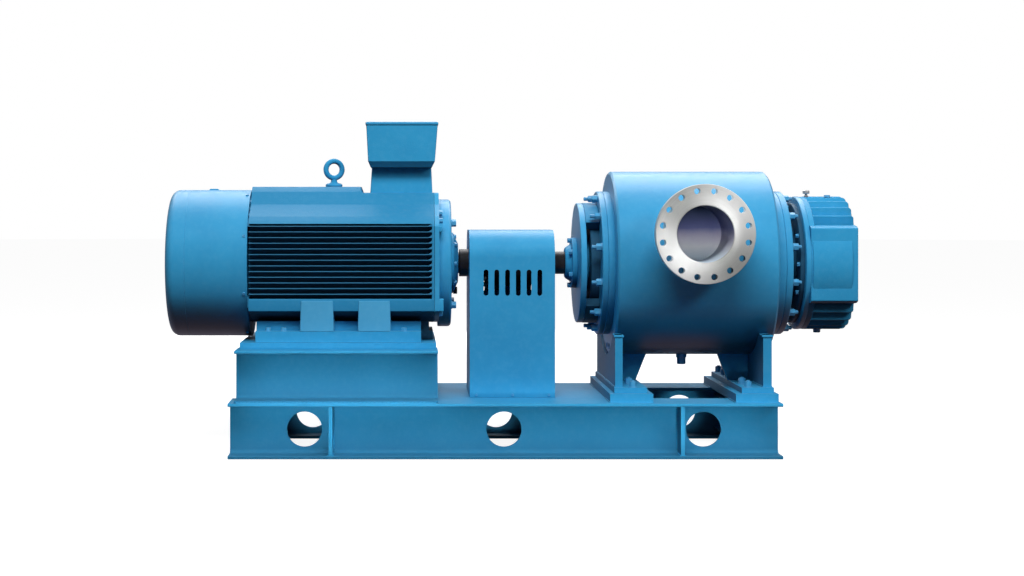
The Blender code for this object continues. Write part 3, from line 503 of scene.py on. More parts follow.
def piece(name, bm, finish, body=STATIC, bevel=0.0, cutters=None, stands_for=(), sharp=32):
    """A dressed piece of the set: its mesh, finish, body and the CAD nodes that it stands for."""
    made = mesh_object(name, bm, sharp)
    if cutters is not None:
        carve(made, cutters)
        made.data.shade_smooth()
        made.data.set_sharp_from_angle(angle=math.radians(sharp))
    if bevel:
        soften(made, bevel)
    made.data.materials.append(finish.material)
    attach(made, body)
    if stands_for:
        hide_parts(*stands_for)
    return made


def carve(target, cutters):
    """Cuts the cutter shells out of a piece, for good."""
    cutter = mesh_object("cutter", cutters)
    step = target.modifiers.new("cut", "BOOLEAN")
    step.operation = "DIFFERENCE"
    step.object = cutter
    bpy.context.view_layer.update()
    graph = bpy.context.evaluated_depsgraph_get()
    result = bpy.data.meshes.new_from_object(target.evaluated_get(graph))
    target.modifiers.remove(step)
    target.data = result
    bpy.data.objects.remove(cutter)


def soften(target, width, segments=2):
    step = target.modifiers.new("soft_edges", "BEVEL")
    step.width = width
    step.segments = segments
    step.limit_method = "ANGLE"
    step.angle_limit = math.radians(38)
    step.harden_normals = True


def dress(node, finish, bevel=0.0):
    """Gives a CAD node that stays its finish and soft edges."""
    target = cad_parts[node]
    target.data.materials.clear()
    target.data.materials.append(finish.material)
    target.data.shade_smooth()
    target.data.set_sharp_from_angle(angle=math.radians(30))
    if bevel:
        soften(target, bevel)


# Fasteners, drawn along +X from their seat
def hexagon(radius, turn=0.0):
    return [polar(radius, turn + 60.0 * side) for side in range(6)]


def hex_body(across, height, start=0.0, turn=0.0):
    """A six sided head with a chamfered top."""
    radius = across / math.sqrt(3)
    levels = [(hexagon(radius, turn), start), (hexagon(radius, turn), start + height * 0.84)]
    levels.append((hexagon(radius * 0.90, turn), start + height))
    return loft(levels, "x")


def washer(radius, thick, start=0.0):
    edge = thick * 0.25
    profile = [(start, 0.0), (start, radius), (start + thick - edge, radius), (start + thick, radius - edge), (start + thick, 0.0)]
    return lathe(profile, 24)


def bolt(across, turn=0.0):
    """A hexagon headed bolt on its washer."""
    thick = across * 0.12
    return together(washer(across * 0.62, thick), hex_body(across, across * 0.62, thick, turn))


def thread(radius, length, start, pitch):
    """A stud end with rings for its thread and a chamfered tip."""
    profile = [(start, 0.0), (start, radius)]
    turns = max(2, int(length / pitch) - 1)
    for ring in range(turns):
        x = start + (ring + 0.5) * pitch
        profile += [(x, radius * 0.90), (x + pitch / 2, radius)]
    end = start + length
    profile += [(end - radius * 0.25, radius * 0.97), (end, radius * 0.70), (end, 0.0)]
    return lathe(profile, 16)


def stud_and_nut(across, reach, turn=0.0):
    """A washer, a nut and the end of the stud that stands out of it."""
    thick = across * 0.12
    high = across * 0.80
    stud = thread(across * 0.32, reach, thick + high - 0.001, across * 0.075)
    return together(washer(across * 0.62, thick), hex_body(across, high, thick, turn), stud)


def socket_screw(radius, height):
    """A round head with a hexagon recess."""
    edge = radius * 0.12
    profile = [(0.0, 0.0), (0.0, radius), (height - edge, radius), (height, radius - edge), (height, radius * 0.55)]
    profile += [(height * 0.45, radius * 0.50), (height * 0.45, 0.0)]
    return lathe(profile, 18)


def ring_of(make, circle_radius, count, x, direction, first=0.0):
    """Copies of a fastener on a circle about the shaft line, all pointing along X one way."""
    parts = []
    for number in range(count):
        angle = first + 360.0 * number / count
        y, z = polar(circle_radius, angle)
        parts.append(moved(make(angle * 0.37), pointing((x, y, z + SHAFT_Z), (direction, 0, 0))))
    return together(*parts)


def row_of(make, places, direction):
    """Copies of a fastener at given places."""
    parts = [moved(make(17.0 * number), pointing(place, direction)) for number, place in enumerate(places)]
    return together(*parts)


def weld(start, end, size, normal):
    """A rippled weld bead along a straight inner corner."""
    start, end = Vector(start), Vector(end)
    run = end - start
    steps = max(6, int(run.length / 0.006))
    side = Vector(normal).normalized()
    cross = run.normalized().cross(side)
    bm = bmesh.new()
    rings = []
    for step in range(steps + 1):
        middle = start + run * (step / steps)
        swell = size * (1.0 + 0.16 * math.sin(step * 2.1) + 0.05 * math.sin(step * 5.3))
        ring = []
        for corner in range(8):
            angle = 2 * math.pi * corner / 8
            ring.append(bm.verts.new(middle + (cross * math.cos(angle) + side * math.sin(angle)) * swell * 0.5))
        rings.append(ring)
    bm.faces.new(rings[0])
    bm.faces.new(rings[-1])
    for first, second in zip(rings, rings[1:]):
        for corner in range(8):
            after = (corner + 1) % 8
            bm.faces.new((first[corner], first[after], second[after], second[corner]))
    bmesh.ops.recalc_face_normals(bm, faces=bm.faces)
    return bm


# Skid
BEAM_FLANGE = 0.014
BEAM_WEB = 0.009
BEAM_FILLET = 0.020
HOLE_RADIUS = 0.080
HOLE_HEIGHT = 0.122
HOLE_SPACING = 0.910
STIFFENERS = (-0.827, 0.759)
STIFFENER_THICK = 0.018


def beam_outline(size, height, flange, web, fillet):
    """Cross section of a wide flange beam, with its foot at zero height and rolled edges."""
    half = size / 2
    wall = web / 2
    toe = 0.002
    right = [(half - toe, 0.0), (half, toe), (half, flange - toe), (half - toe, flange)]
    right += [(wall + fillet - x, flange + fillet - y) for x, y in arc((0, 0), fillet, 90.0, 0.0, 8)]
    right += [(wall + fillet - x, height - flange - fillet + y) for x, y in arc((0, 0), fillet, 0.0, 90.0, 8)]
    right += [(half - toe, height - flange), (half, height - flange + toe), (half, height - toe), (half - toe, height)]
    left = [(-x, z) for x, z in reversed(right)]
    return right + left


def skid_beam(side, word):
    low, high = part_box("skid_beam_" + word)
    middle = (low.y + high.y) / 2
    outline = [(middle + y, z) for y, z in beam_outline(high.y - low.y, high.z, BEAM_FLANGE, BEAM_WEB, BEAM_FILLET)]
    centre = (low.x + high.x) / 2
    holes = []
    for place in (-1, 0, 1):
        spot = (centre + place * HOLE_SPACING, HOLE_HEIGHT)
        holes.append(prism(circle(spot, HOLE_RADIUS, 72), "y", middle - 0.05, middle + 0.05))
    node = "skid_beam_" + word
    piece("long_beam_" + word, prism(outline, "x", low.x, high.x), SKID_STEEL, cutters=together(*holes), stands_for=(node,))
    wall = BEAM_WEB / 2
    outer = (high.y - low.y) / 2 - 0.003
    plates = []
    beads = []
    for station in STIFFENERS:
        cut = 0.020
        near, far = side * wall, side * outer
        bottom, top = BEAM_FLANGE, high.z - BEAM_FLANGE
        points = [(near, bottom + cut), (near + side * cut, bottom), (far, bottom), (far, top), (near + side * cut, top), (near, top - cut)]
        shifted = [(middle + y, z) for y, z in points]
        plates.append(prism(shifted, "x", station - STIFFENER_THICK / 2, station + STIFFENER_THICK / 2))
        for edge in (-1, 1):
            x = station + edge * STIFFENER_THICK / 2
            beads.append(weld((x, middle + near, bottom + cut), (x, middle + near, top - cut), 0.010, (edge, side, 0)))
            beads.append(weld((x, middle + near + side * cut, bottom), (x, middle + far, bottom), 0.010, (edge, 0, 1)))
    piece("stiffeners_" + word, together(*plates), ROLLED, bevel=0.0015)
    piece("stiffener_welds_" + word, together(*beads), ROLLED)


def motor_stool(side, word):
    node = "motor_stool_" + word
    low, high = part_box(node)
    middle = (low.y + high.y) / 2
    section = beam_outline(high.y - low.y, high.z - low.z, 0.012, 0.012, 0.014)
    outline = [(middle + y, low.z + z) for y, z in section]
    piece("stool_" + word, prism(outline, "x", low.x, high.x), STOOL_STEEL, stands_for=(node,))
    outer = high.y if side > 0 else low.y
    beads = [weld((low.x + 0.01, outer, low.z), (high.x - 0.01, outer, low.z), 0.008, (0, side, 1))]
    beads.append(weld((low.x, outer - side * 0.01, low.z), (low.x, outer - side * 0.23, low.z), 0.008, (-1, 0, 1)))
    piece("stool_welds_" + word, together(*beads), ROLLED)


def skid():
    for side, word in ((-1, "front"), (1, "rear")):
        skid_beam(side, word)
        motor_stool(side, word)
    for number in range(1, 5):
        dress("cross_beam_" + str(number), ROLLED, 0.0015)
    dress("deck_plate", ROLLED, 0.001)
    dress("motor_bed_plate", ROLLED, 0.002)
    dress("pump_pad_left", ROLLED, 0.002)
    dress("pump_pad_right", ROLLED, 0.002)
    for word in ("left", "right"):
        low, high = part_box("pump_pad_" + word)
        beads = []
        for side in (-1, 1):
            beads.append(weld((low.x, side * 0.26, low.z), (low.x, side * high.y * 0.995, low.z), 0.008, (-1, 0, 1)))
            beads.append(weld((high.x, side * 0.26, low.z), (high.x, side * high.y * 0.995, low.z), 0.008, (1, 0, 1)))
            beads.append(weld((low.x, side * high.y, low.z), (high.x, side * high.y, low.z), 0.008, (0, side, 1)))
        piece("pad_welds_" + word, together(*beads), ROLLED)


# Motor
FIN_COUNT = 13
FIN_TOP = 0.180
FIN_PITCH = 0.026
FIN_ROOT = 0.268
FIN_TIP = 0.340
LEGS = ((-0.973, -0.818), (-0.708, -0.557))


def motor_core_outline(side, drop=0.0, scale=1.0):
    """Frame section without its fins, with flanks at a given half width and its flat top lowered by a drop."""
    top = 0.361 - drop
    half = [(0.115 + drop * 0.9, top), (0.150, 0.337 - drop * 0.3), (0.190, 0.277), (0.290, 0.222), (0.330, 0.188)]
    half += [(side, 0.178), (side, -0.152), (0.338, -0.158), (0.338, -0.213), (0.292, -0.232), (0.170, -0.268)]
    full = half + [(0.0, -0.282)] + [(-y, z) for y, z in reversed(half)]
    return rounded([(y * scale, z * scale + SHAFT_Z) for y, z in full], 0.0045, closed=True, steps=3)


def fin(level, side, left, right):
    """One cooling fin with a thin round tip. Its right end rises into the end ring as a fillet."""
    root = FIN_ROOT - 0.004
    tip = 0.0017
    outline = [(root, 0.0042), (FIN_TIP - 0.003, tip)]
    outline += [(FIN_TIP - tip + x, z) for x, z in arc((0, 0), tip, 90.0, -90.0, 5)]
    outline += [(FIN_TIP - 0.003, -tip), (root, -0.0042)]
    placed = [(side * y, level + z + SHAFT_Z) for y, z in outline]
    flared = [(side * y, level + z + SHAFT_Z + (0.011 if z > 0 else 0.0)) for y, z in outline]
    return loft([(placed, left), (placed, right - 0.017), (flared, right)], "x")


def motor_frame():
    low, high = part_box("motor_frame")
    gap = 0.0075
    start = low.x + gap
    ring = high.x - 0.0115
    step = -0.695
    drop = 0.028
    spigot = motor_core_outline(0.255, drop, 0.93)
    full = motor_core_outline(FIN_ROOT)
    lowered = motor_core_outline(FIN_ROOT, drop)
    shell = loft([(full, start), (full, step - 0.005), (lowered, step + 0.005), (lowered, high.x)], "x")
    parts = [shell, prism(spigot, "x", low.x, start + 0.001)]
    parts.append(prism(motor_core_outline(0.337, drop, 1.0015), "x", ring, high.x - 0.0005))
    piece("frame_casting", together(*parts), FRAME, stands_for=("motor_frame",))
    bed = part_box("motor_bed_plate")[1].z
    # A block under the frame and a low bar on the bed plate, in the recess enamel's painted shade, fill the dark space
    # under the motor
    under = [block((-1.188, -0.379), (-0.150, 0.150), (bed + 0.001, SHAFT_Z - 0.262))]
    under.append(block((-1.188, -0.3605), (-0.145, 0.145), (bed + 0.0005, bed + 0.042)))
    piece("frame_belly", together(*under), RECESS, bevel=0.002)
    fins = []
    for number in range(FIN_COUNT):
        level = FIN_TOP - 0.0035 - number * FIN_PITCH
        for side in (-1, 1):
            fins.append(fin(level, side, start + 0.0005, ring + 0.001))
    piece("frame_fins", together(*fins), FINNED)
    legs = []
    top = SHAFT_Z - 0.165
    bottom = low.z
    for left, right in LEGS:
        for side in (-1, 1):
            foot = rectangle((left, right), sorted((side * 0.205, side * 0.346)), 0.006)
            crown = rectangle((left + 0.004, right - 0.004), sorted((side * 0.205, side * 0.343)), 0.006)
            legs.append(loft([(foot, bottom), (foot, bottom + 0.02), (crown, top)]))
    piece("frame_legs", together(*legs), LEGS_PAINT, bevel=0.002)
    spots = []
    for side in (-1, 1):
        for y, z in ((0.176, 0.290), (0.210, 0.256), (0.262, 0.228)):
            spots.append((start, side * y, SHAFT_Z + z))
    piece("frame_end_screws", row_of(lambda turn: socket_screw(0.0065, 0.0055), spots, (-1, 0, 0)), BOLTS)


def motor_feet():
    """Foot bars with holding down bolts."""
    for side, word in ((-1, "front"), (1, "rear")):
        node = "motor_foot_" + word
        dress(node, CAST, 0.002)
        low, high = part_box(node)
        seat = low.z + 0.050
        bolts = [(x, side * 0.310, seat) for x in (-1.121, -1.049, -0.496)]
        piece("foot_bolts_" + word, row_of(lambda turn: bolt(0.022, turn), bolts, (0, 0, 1)), BOLTS)


def fan_cowl():
    low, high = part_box("fan_cowl")
    radius = (high.z - low.z) / 2
    sheet = 0.004
    curve = 0.040
    start = low.x + curve
    outer = [(start - x, radius - curve + y) for x, y in arc((0, 0), curve, 0.0, 90.0, 10)]
    inner = [(start - x, radius - curve + y) for x, y in arc((0, 0), curve - sheet, 90.0, 0.0, 10)]
    seam = [(-1.5065, radius), (-1.506, radius - 0.0012), (-1.504, radius - 0.0012), (-1.5035, radius)]
    profile = [(low.x, 0.275)] + outer + seam
    profile += [(high.x - 0.001, radius), (high.x, radius - 0.001), (high.x, radius - sheet)]
    profile += inner + [(low.x + sheet, 0.275)]
    parts = [at_shaft(lathe(profile, FINE, ring=True))]
    hub = [(low.x, 0.0), (low.x, 0.082), (low.x + 0.002, 0.085), (low.x + sheet, 0.085), (low.x + sheet, 0.0)]
    parts.append(at_shaft(lathe(hub, MIDDLE)))
    for rib in range(10):
        bar = prism([(-0.009, 0.080), (0.009, 0.080), (0.009, 0.280), (-0.009, 0.280)], "x", low.x + 0.0005, low.x + sheet - 0.0005)
        moved(bar, Matrix.Rotation(2 * math.pi * rib / 10, 4, "X"))
        parts.append(at_shaft(bar))
    piece("cowl_sheet", together(*parts), SHEET, stands_for=("fan_cowl",))
    wires = []
    for number in range(15):
        reach = 0.094 + number * 0.0125
        section = [(low.x + 0.006 + x, reach + r) for x, r in circle((0, 0), 0.0016, 6)]
        wires.append(at_shaft(lathe(section, MIDDLE, ring=True)))
    piece("cowl_grille", together(*wires), SHEET)
    screws = []
    for number in range(8):
        y, z = polar(radius, 22.5 + 45.0 * number)
        screws.append(moved(socket_screw(0.007, 0.005), pointing((-1.232, y, z + SHAFT_Z), (0, y, z))))
    piece("cowl_screws", together(*screws), BOLTS)
    tab = prism(rounded([(-0.024, 0.0), (-0.018, 0.007), (0.018, 0.007), (0.024, 0.0)], 0.004), "y", -0.020, 0.020)
    piece("cowl_tab", moved(tab, Matrix.Translation((-1.400, 0.0, SHAFT_Z + radius - 0.001))), SHEET, bevel=0.001)
    dress("motor_nondrive_shield", CAST)


def motor_fan():
    dress("motor_fan", FAN_METAL, 0.001)


def drive_shield():
    low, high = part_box("motor_drive_shield")
    radius = (high.z - low.z) / 2
    bore = 0.051
    plate = -0.334
    skirt = motor_core_outline(0.3385, 0.028)
    parts = [prism(skirt, "x", low.x + 0.001, plate)]
    profile = [(plate - 0.004, bore), (plate - 0.004, radius), (high.x - 0.010, radius), (high.x, radius - 0.010)]
    profile += [(high.x, radius - 0.062), (high.x - 0.012, radius - 0.075), (high.x - 0.012, 0.168), (high.x, 0.156)]
    profile += [(high.x, bore)]
    parts.append(at_shaft(lathe(rounded(profile, 0.005), FINE, ring=True)))
    piece("drive_end_shield", together(*parts), TURNED, stands_for=("motor_drive_shield",))
    ribs = []
    for number in range(8):
        rib = prism([(-0.006, 0.155), (0.006, 0.155), (0.006, 0.230), (-0.006, 0.230)], "x", high.x - 0.013, high.x - 0.001)
        moved(rib, Matrix.Rotation(2 * math.pi * (number + 0.5) / 8, 4, "X"))
        ribs.append(at_shaft(rib))
    piece("shield_ribs", together(*ribs), CAST, bevel=0.002)
    corners = []
    for side in (-1, 1):
        flank = rectangle(sorted((side * 0.285, side * 0.337)), (SHAFT_Z - 0.214, SHAFT_Z - 0.156), 0.006)
        corners.append(prism(flank, "x", plate - 0.001, -0.3145))
        ear = rectangle(sorted((side * 0.270, side * 0.326)), (SHAFT_Z + 0.150, SHAFT_Z + 0.178), 0.006)
        corners.append(prism(ear, "x", plate - 0.001, -0.3205))
    piece("shield_corners", together(*corners), CAST, bevel=0.002)
    bolts = []
    for side in (-1, 1):
        bolts += [(plate, side * y, SHAFT_Z + z) for y, z in ((0.226, 0.238), (0.296, 0.202), (0.275, -0.227))]
    piece("shield_edge_bolts", row_of(lambda turn: bolt(0.022, turn), bolts, (1, 0, 0)), BOLTS)
    piece("shield_bolts", ring_of(lambda turn: bolt(0.030, turn), 0.270, 4, high.x, 1, 45.0), BOLTS)


def motor_cap():
    low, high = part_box("motor_bearing_cap")
    radius = (high.z - low.z) / 2
    profile = [(low.x, 0.051), (low.x, radius), (low.x + 0.012, radius), (low.x + 0.015, radius - 0.008)]
    profile += [(high.x - 0.006, 0.104), (high.x, 0.092), (high.x, 0.062), (high.x - 0.006, 0.060), (high.x - 0.006, 0.051)]
    piece("motor_cap", at_shaft(lathe(rounded(profile, 0.003), MIDDLE, ring=True)), CAST, stands_for=("motor_bearing_cap",))
    piece("motor_cap_bolts", ring_of(lambda turn: bolt(0.018, turn), 0.125, 8, low.x + 0.014, 1), BOLTS)
    spot = (low.x + 0.013, 0.0, SHAFT_Z - 0.131)
    piece("motor_grease_outlet", moved(hex_body(0.030, 0.019), pointing(spot, (1, 0, 0))), GASKET, bevel=0.001)


def terminal_box():
    low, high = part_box("terminal_neck")
    half = high.y
    levels = [(rectangle((-0.656, -0.362), (-half, half), 0.010), SHAFT_Z + 0.318)]
    levels.append((rectangle((-0.6475, -0.368), (-half + 0.002, half - 0.002), 0.010), high.z))
    piece("neck_casting", loft(levels), CAST, bevel=0.0015, stands_for=("terminal_neck",))
    low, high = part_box("terminal_box")
    half = high.y
    shoulder = SHAFT_Z + 0.479
    levels = [(rectangle((-0.652, -0.366), (-0.180, 0.180), 0.008), low.z)]
    levels.append((rectangle((-0.664, -0.352), (-0.200, 0.200), 0.008), shoulder))
    levels.append((rectangle((-0.6725, -0.339), (-half, half), 0.008), high.z - 0.001))
    piece("box_casting", loft(levels), CAST, bevel=0.002, stands_for=("terminal_box",))
    low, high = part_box("terminal_lid")
    half = high.y
    seal = rectangle((low.x + 0.006, high.x - 0.006), (-half + 0.006, half - 0.006), 0.006)
    piece("lid_gasket", prism(seal, "z", low.z - 0.0015, low.z + 0.001), GASKET)
    edge = rectangle((low.x, high.x), (-half, half), 0.008)
    brow = rectangle((low.x + 0.004, high.x - 0.004), (-half + 0.004, half - 0.004), 0.008)
    lid = loft([(edge, low.z + 0.001), (edge, high.z - 0.0045), (brow, high.z - 0.001)])
    piece("lid_casting", lid, LID, bevel=0.001, stands_for=("terminal_lid",))
    spots = []
    for x in (low.x + 0.018, high.x - 0.018):
        for y in (-half + 0.018, half - 0.018):
            spots.append((x, y, high.z - 0.0065))
    piece("lid_screws", row_of(lambda turn: socket_screw(0.010, 0.006), spots, (0, 0, 1)), BOLTS)


def eye_bolt():
    low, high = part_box("eye_bolt")
    x = -0.830
    rod = 0.0125
    reach = 0.040
    centre = high.z - reach - rod
    ring = lathe([(u, reach + v) for u, v in circle((0, 0), rod, 20)], 64, ring=True)
    place = Matrix.Translation((x, 0.0, centre)) @ Matrix.Rotation(math.radians(110.0), 4, "Z")
    moved(ring, place)
    stand = [(0.0, 0.0), (0.0, 0.038), (0.003, 0.040), (0.011, 0.040), (0.016, 0.034), (0.019, 0.020), (0.024, 0.015), (0.036, 0.014), (0.036, 0.0)]
    boss = moved(lathe(rounded(stand, 0.002), SMALL), pointing((x, 0.0, low.z), (0, 0, 1)))
    piece("lifting_eye", together(ring, boss), CAST, stands_for=("eye_bolt",))


# Coupling and guard
SLOTS = 6
SLOT_LEFT = -0.115
SLOT_PITCH = 0.050
SLOT_RADIUS = 0.011
SLOT_BOTTOM = 0.723
SLOT_TOP = 0.844
GUARD_CORNER = 0.130


def guard():
    low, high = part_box("guard_wrap")
    sheet = 0.004

    def arch(inset):
        half = high.y - inset
        top = high.z - inset
        radius = GUARD_CORNER - inset
        points = [(half, low.z)] + arc((half - radius, top - radius), radius, 0.0, 90.0, 20)
        return points + arc((-half + radius, top - radius), radius, 90.0, 180.0, 20) + [(-half, low.z)]

    outline = arch(0.0) + list(reversed(arch(sheet)))
    slots = []
    for number in range(SLOTS):
        middle = SLOT_LEFT + number * SLOT_PITCH
        edge = arc((middle, SLOT_TOP - SLOT_RADIUS), SLOT_RADIUS, 0.0, 180.0, 12)
        edge += arc((middle, SLOT_BOTTOM + SLOT_RADIUS), SLOT_RADIUS, 180.0, 360.0, 12)
        slots.append(prism(edge, "y", low.y - 0.05, high.y + 0.05))
    wrap = prism(outline, "x", low.x, high.x)
    piece("guard_sheet", wrap, SHEET, bevel=0.0008, cutters=together(*slots), stands_for=("guard_wrap",))
    dress("guard_end_motor", SHEET, 0.0006)
    dress("guard_end_pump", SHEET, 0.0006)
    for side, word in ((-1, "front"), (1, "rear")):
        face = side * high.y
        spots = [(x, face, low.z + 0.012) for x in (-0.160, 0.009, 0.178)]
        piece("guard_screws_" + word, row_of(lambda turn: socket_screw(0.0065, 0.004), spots, (0, side, 0)), BOLTS)


def coupling():
    low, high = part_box("coupling")
    profile = [(low.x, 0.0), (low.x, 0.065), (-0.105, 0.065), (-0.105, 0.130), (-0.022, 0.130), (-0.022, 0.110)]
    profile += [(0.022, 0.110), (0.022, 0.130), (0.105, 0.130), (0.105, 0.065), (high.x, 0.065), (high.x, 0.0)]
    body = at_shaft(lathe(rounded(profile, 0.0025), MIDDLE))
    piece("coupling_halves", body, SHAFT, body=TURNING, stands_for=("coupling",))
    piece("coupling_bolts", ring_of(lambda turn: bolt(0.022, turn), 0.102, 8, -0.105, -1), ZINC, body=TURNING)


def shafts():
    low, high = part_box("motor_shaft")
    profile = [(low.x, 0.0), (low.x, 0.049), (low.x + 0.001, 0.050), (high.x - 0.001, 0.050), (high.x, 0.049), (high.x, 0.0)]
    piece("motor_rod", at_shaft(lathe(profile, MIDDLE)), SHAFT, body=TURNING, stands_for=("motor_shaft",))
    low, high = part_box("pump_shaft")
    radius = (high.z - low.z) / 2
    profile = [(low.x, 0.0), (low.x, radius), (0.262, radius), (0.263, radius - 0.001), (high.x - 0.002, radius - 0.001), (high.x, radius - 0.003), (high.x, 0.0)]
    piece("pump_rod", at_shaft(lathe(profile, MIDDLE)), SHAFT, body=TURNING, stands_for=("pump_shaft",))


# Pump
STUDS = 12
STUD_CIRCLE = 0.315


def drive_end():
    low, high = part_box("pump_bearing_cap")
    flange = 0.298
    profile = [(low.x, 0.0545), (low.x, 0.068), (low.x + 0.005, 0.074), (low.x + 0.014, 0.080), (flange - 0.004, 0.088), (flange, 0.094)]
    profile += [(flange, 0.117), (flange + 0.002, 0.119), (high.x, 0.119), (high.x, 0.0545)]
    piece("bearing_cap", at_shaft(lathe(rounded(profile, 0.003), MIDDLE, ring=True)), CAST, stands_for=("pump_bearing_cap",))
    piece("bearing_cap_bolts", ring_of(lambda turn: bolt(0.022, turn), 0.106, 6, flange, -1), BOLTS)
    low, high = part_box("bearing_disc")
    radius = (high.z - low.z) / 2
    profile = [(low.x, 0.0545), (low.x, radius - 0.003), (low.x + 0.003, radius), (high.x - 0.002, radius), (high.x, radius - 0.002), (high.x, 0.0545)]
    piece("bearing_plate", at_shaft(lathe(rounded(profile, 0.002), FINE, ring=True)), TURNED, stands_for=("bearing_disc",))
    # The lower lantern arch takes the recess enamel, painted darker as shade; the upper one takes the frame's enamel
    for node, name, pole, paint in (("lantern_top", "lantern_arch_top", 0.0, FRAME), ("lantern_bottom", "lantern_arch_bottom", 180.0, RECESS)):
        low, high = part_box(node)
        spread = 47.0
        angles = [pole - spread + 2 * spread * step / 40 for step in range(41)]
        outline = [polar(0.285, angle) for angle in angles] + [polar(0.235, angle) for angle in reversed(angles)]
        arch = prism([(y, z + SHAFT_Z) for y, z in outline], "x", low.x, high.x)
        piece(name, arch, paint, bevel=0.003, stands_for=(node,))
    low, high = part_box("drive_cover")
    radius = (high.z - low.z) / 2
    face = 0.416
    profile = [(low.x, 0.0), (low.x, 0.128), (low.x + 0.006, 0.132), (0.378, 0.132), (0.379, 0.1305), (0.382, 0.1305), (0.383, 0.132)]
    profile += [(face - 0.012, 0.132), (face, 0.146), (face, radius - 0.004), (face + 0.004, radius), (high.x, radius), (high.x, 0.0)]
    piece("drive_cover_plate", at_shaft(lathe(rounded(profile, 0.003), FINE)), TURNED, stands_for=("drive_cover",))
    hub = [(0.374, 0.1325), (0.374, 0.228), (0.377, 0.231), (face, 0.231), (face, 0.1325)]
    # The hub in the gap behind the drive cover takes painted shade
    piece("drive_cover_hub", at_shaft(lathe(hub, FINE, ring=True)), RECESS)
    studs = ring_of(lambda turn: stud_and_nut(0.030, 0.022, turn), STUD_CIRCLE, STUDS, face, -1, 15.0)
    piece("drive_cover_studs", studs, BOLTS)


def casing():
    low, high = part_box("pump_casing")
    barrel = (high.z - low.z) / 2
    flange = 0.340
    left, right = 0.476, 1.213
    profile = [(low.x, 0.0), (low.x, flange - 0.002), (low.x + 0.002, flange), (left - 0.004, flange)]
    profile += [(left - 0.003, flange - 0.003), (left, flange - 0.003), (left, barrel - 0.010), (left + 0.010, barrel)]
    profile += [(right - 0.010, barrel), (right, barrel - 0.010), (right, flange - 0.003), (right + 0.003, flange - 0.003)]
    profile += [(right + 0.004, flange), (high.x - 0.002, flange), (high.x, flange - 0.002), (high.x, 0.0)]
    ports = []
    for side in (-1, 1):
        ends = sorted((side * 0.280, side * (barrel + 0.05)))
        ports.append(prism(circle((NOZZLE_CENTRE.x, NOZZLE_CENTRE.z), 0.127, MIDDLE), "y", *ends))
    shell = at_shaft(lathe(rounded(profile, 0.0015), 192))
    piece("casing_barrel", shell, TURNED, cutters=together(*ports), stands_for=("pump_casing",))
    spots = [(left, y, SHAFT_Z - 0.394) for y in (-0.045, 0.045)]
    piece("casing_vent_plugs", row_of(lambda turn: socket_screw(0.014, 0.004), spots, (-1, 0, 0)), BOLTS)


def port_liner(side, word):
    """Smooth steel lining of a port, with a hollow end like the inside of a lying cylinder."""
    reach = 0.1262
    depth = 0.045
    rings = 14
    profile = [(1.0, reach * ring / rings) for ring in range(rings + 1)] + [(0.0, reach), (0.0, 0.0)]
    end = lathe(profile, MIDDLE)
    for vert in end.verts:
        if vert.co.x > 0.5:
            across = min(1.0, abs(vert.co.z) / reach)
            vert.co.x = 0.284 + depth * (1.0 - math.sqrt(1.0 - across * across))
        else:
            vert.co.x = 0.2805
    tube = lathe([(0.2805, reach), (0.2805, 0.1268), (0.618, 0.1268), (0.618, reach)], MIDDLE, ring=True)
    lining = together(end, tube)
    moved(lining, pointing((NOZZLE_CENTRE.x, 0.0, NOZZLE_CENTRE.z), (0, side, 0)))
    piece("port_liner_" + word, lining, LINING)


def nozzles():
    for side, word in ((-1, "front"), (1, "rear")):
        node = "nozzle_" + word
        low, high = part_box(node)
        face = high.y if side > 0 else -low.y
        back = face - 0.0476
        root, bore, neck = 0.350, 0.127, 0.160
        outer = NOZZLE_RADIUS
        profile = [(root, bore), (root, neck), (back - 0.014, neck), (back, neck + 0.014), (back, outer - 0.001), (back + 0.001, outer)]
        profile += [(face - 0.0015, outer), (face, outer - 0.0015), (face, bore + 0.003), (face - 0.003, bore)]
        body = lathe(rounded(profile, 0.0012), FINE, ring=True)
        moved(body, pointing((NOZZLE_CENTRE.x, 0.0, NOZZLE_CENTRE.z), (0, side, 0)))
        saddle = at_shaft(prism(circle((0, 0), 0.4335, 192), "x", 0.3, 1.3))
        branch = piece("branch_" + word, body, STEEL, cutters=saddle, stands_for=(node,))
        holes = []
        for number in range(16):
            x, z = polar(0.19365, (number + 0.5) * 22.5)
            centre = (NOZZLE_CENTRE.x + x, NOZZLE_CENTRE.z + z)
            holes.append(prism(circle(centre, 0.0143, 24), "y", *sorted((side * (back - 0.02), side * (face + 0.02)))))
        carve(branch, together(*holes))
        branch.data.shade_smooth()
        branch.data.set_sharp_from_angle(angle=math.radians(32))
        port_liner(side, word)


def drain():
    low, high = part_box("drain_plug")
    spot = ((low.x + high.x) / 2, 0.0, high.z)
    profile = [(0.0, 0.0), (0.0, 0.025), (0.014, 0.025), (0.016, 0.023), (0.016, 0.0)]
    boss = moved(lathe(profile, SMALL), pointing(spot, (0, 0, -1)))
    head = moved(hex_body(0.036, high.z - low.z - 0.016, 0.016), pointing(spot, (0, 0, -1)))
    piece("casing_drain", together(boss, head), BOLTS, stands_for=("drain_plug",))


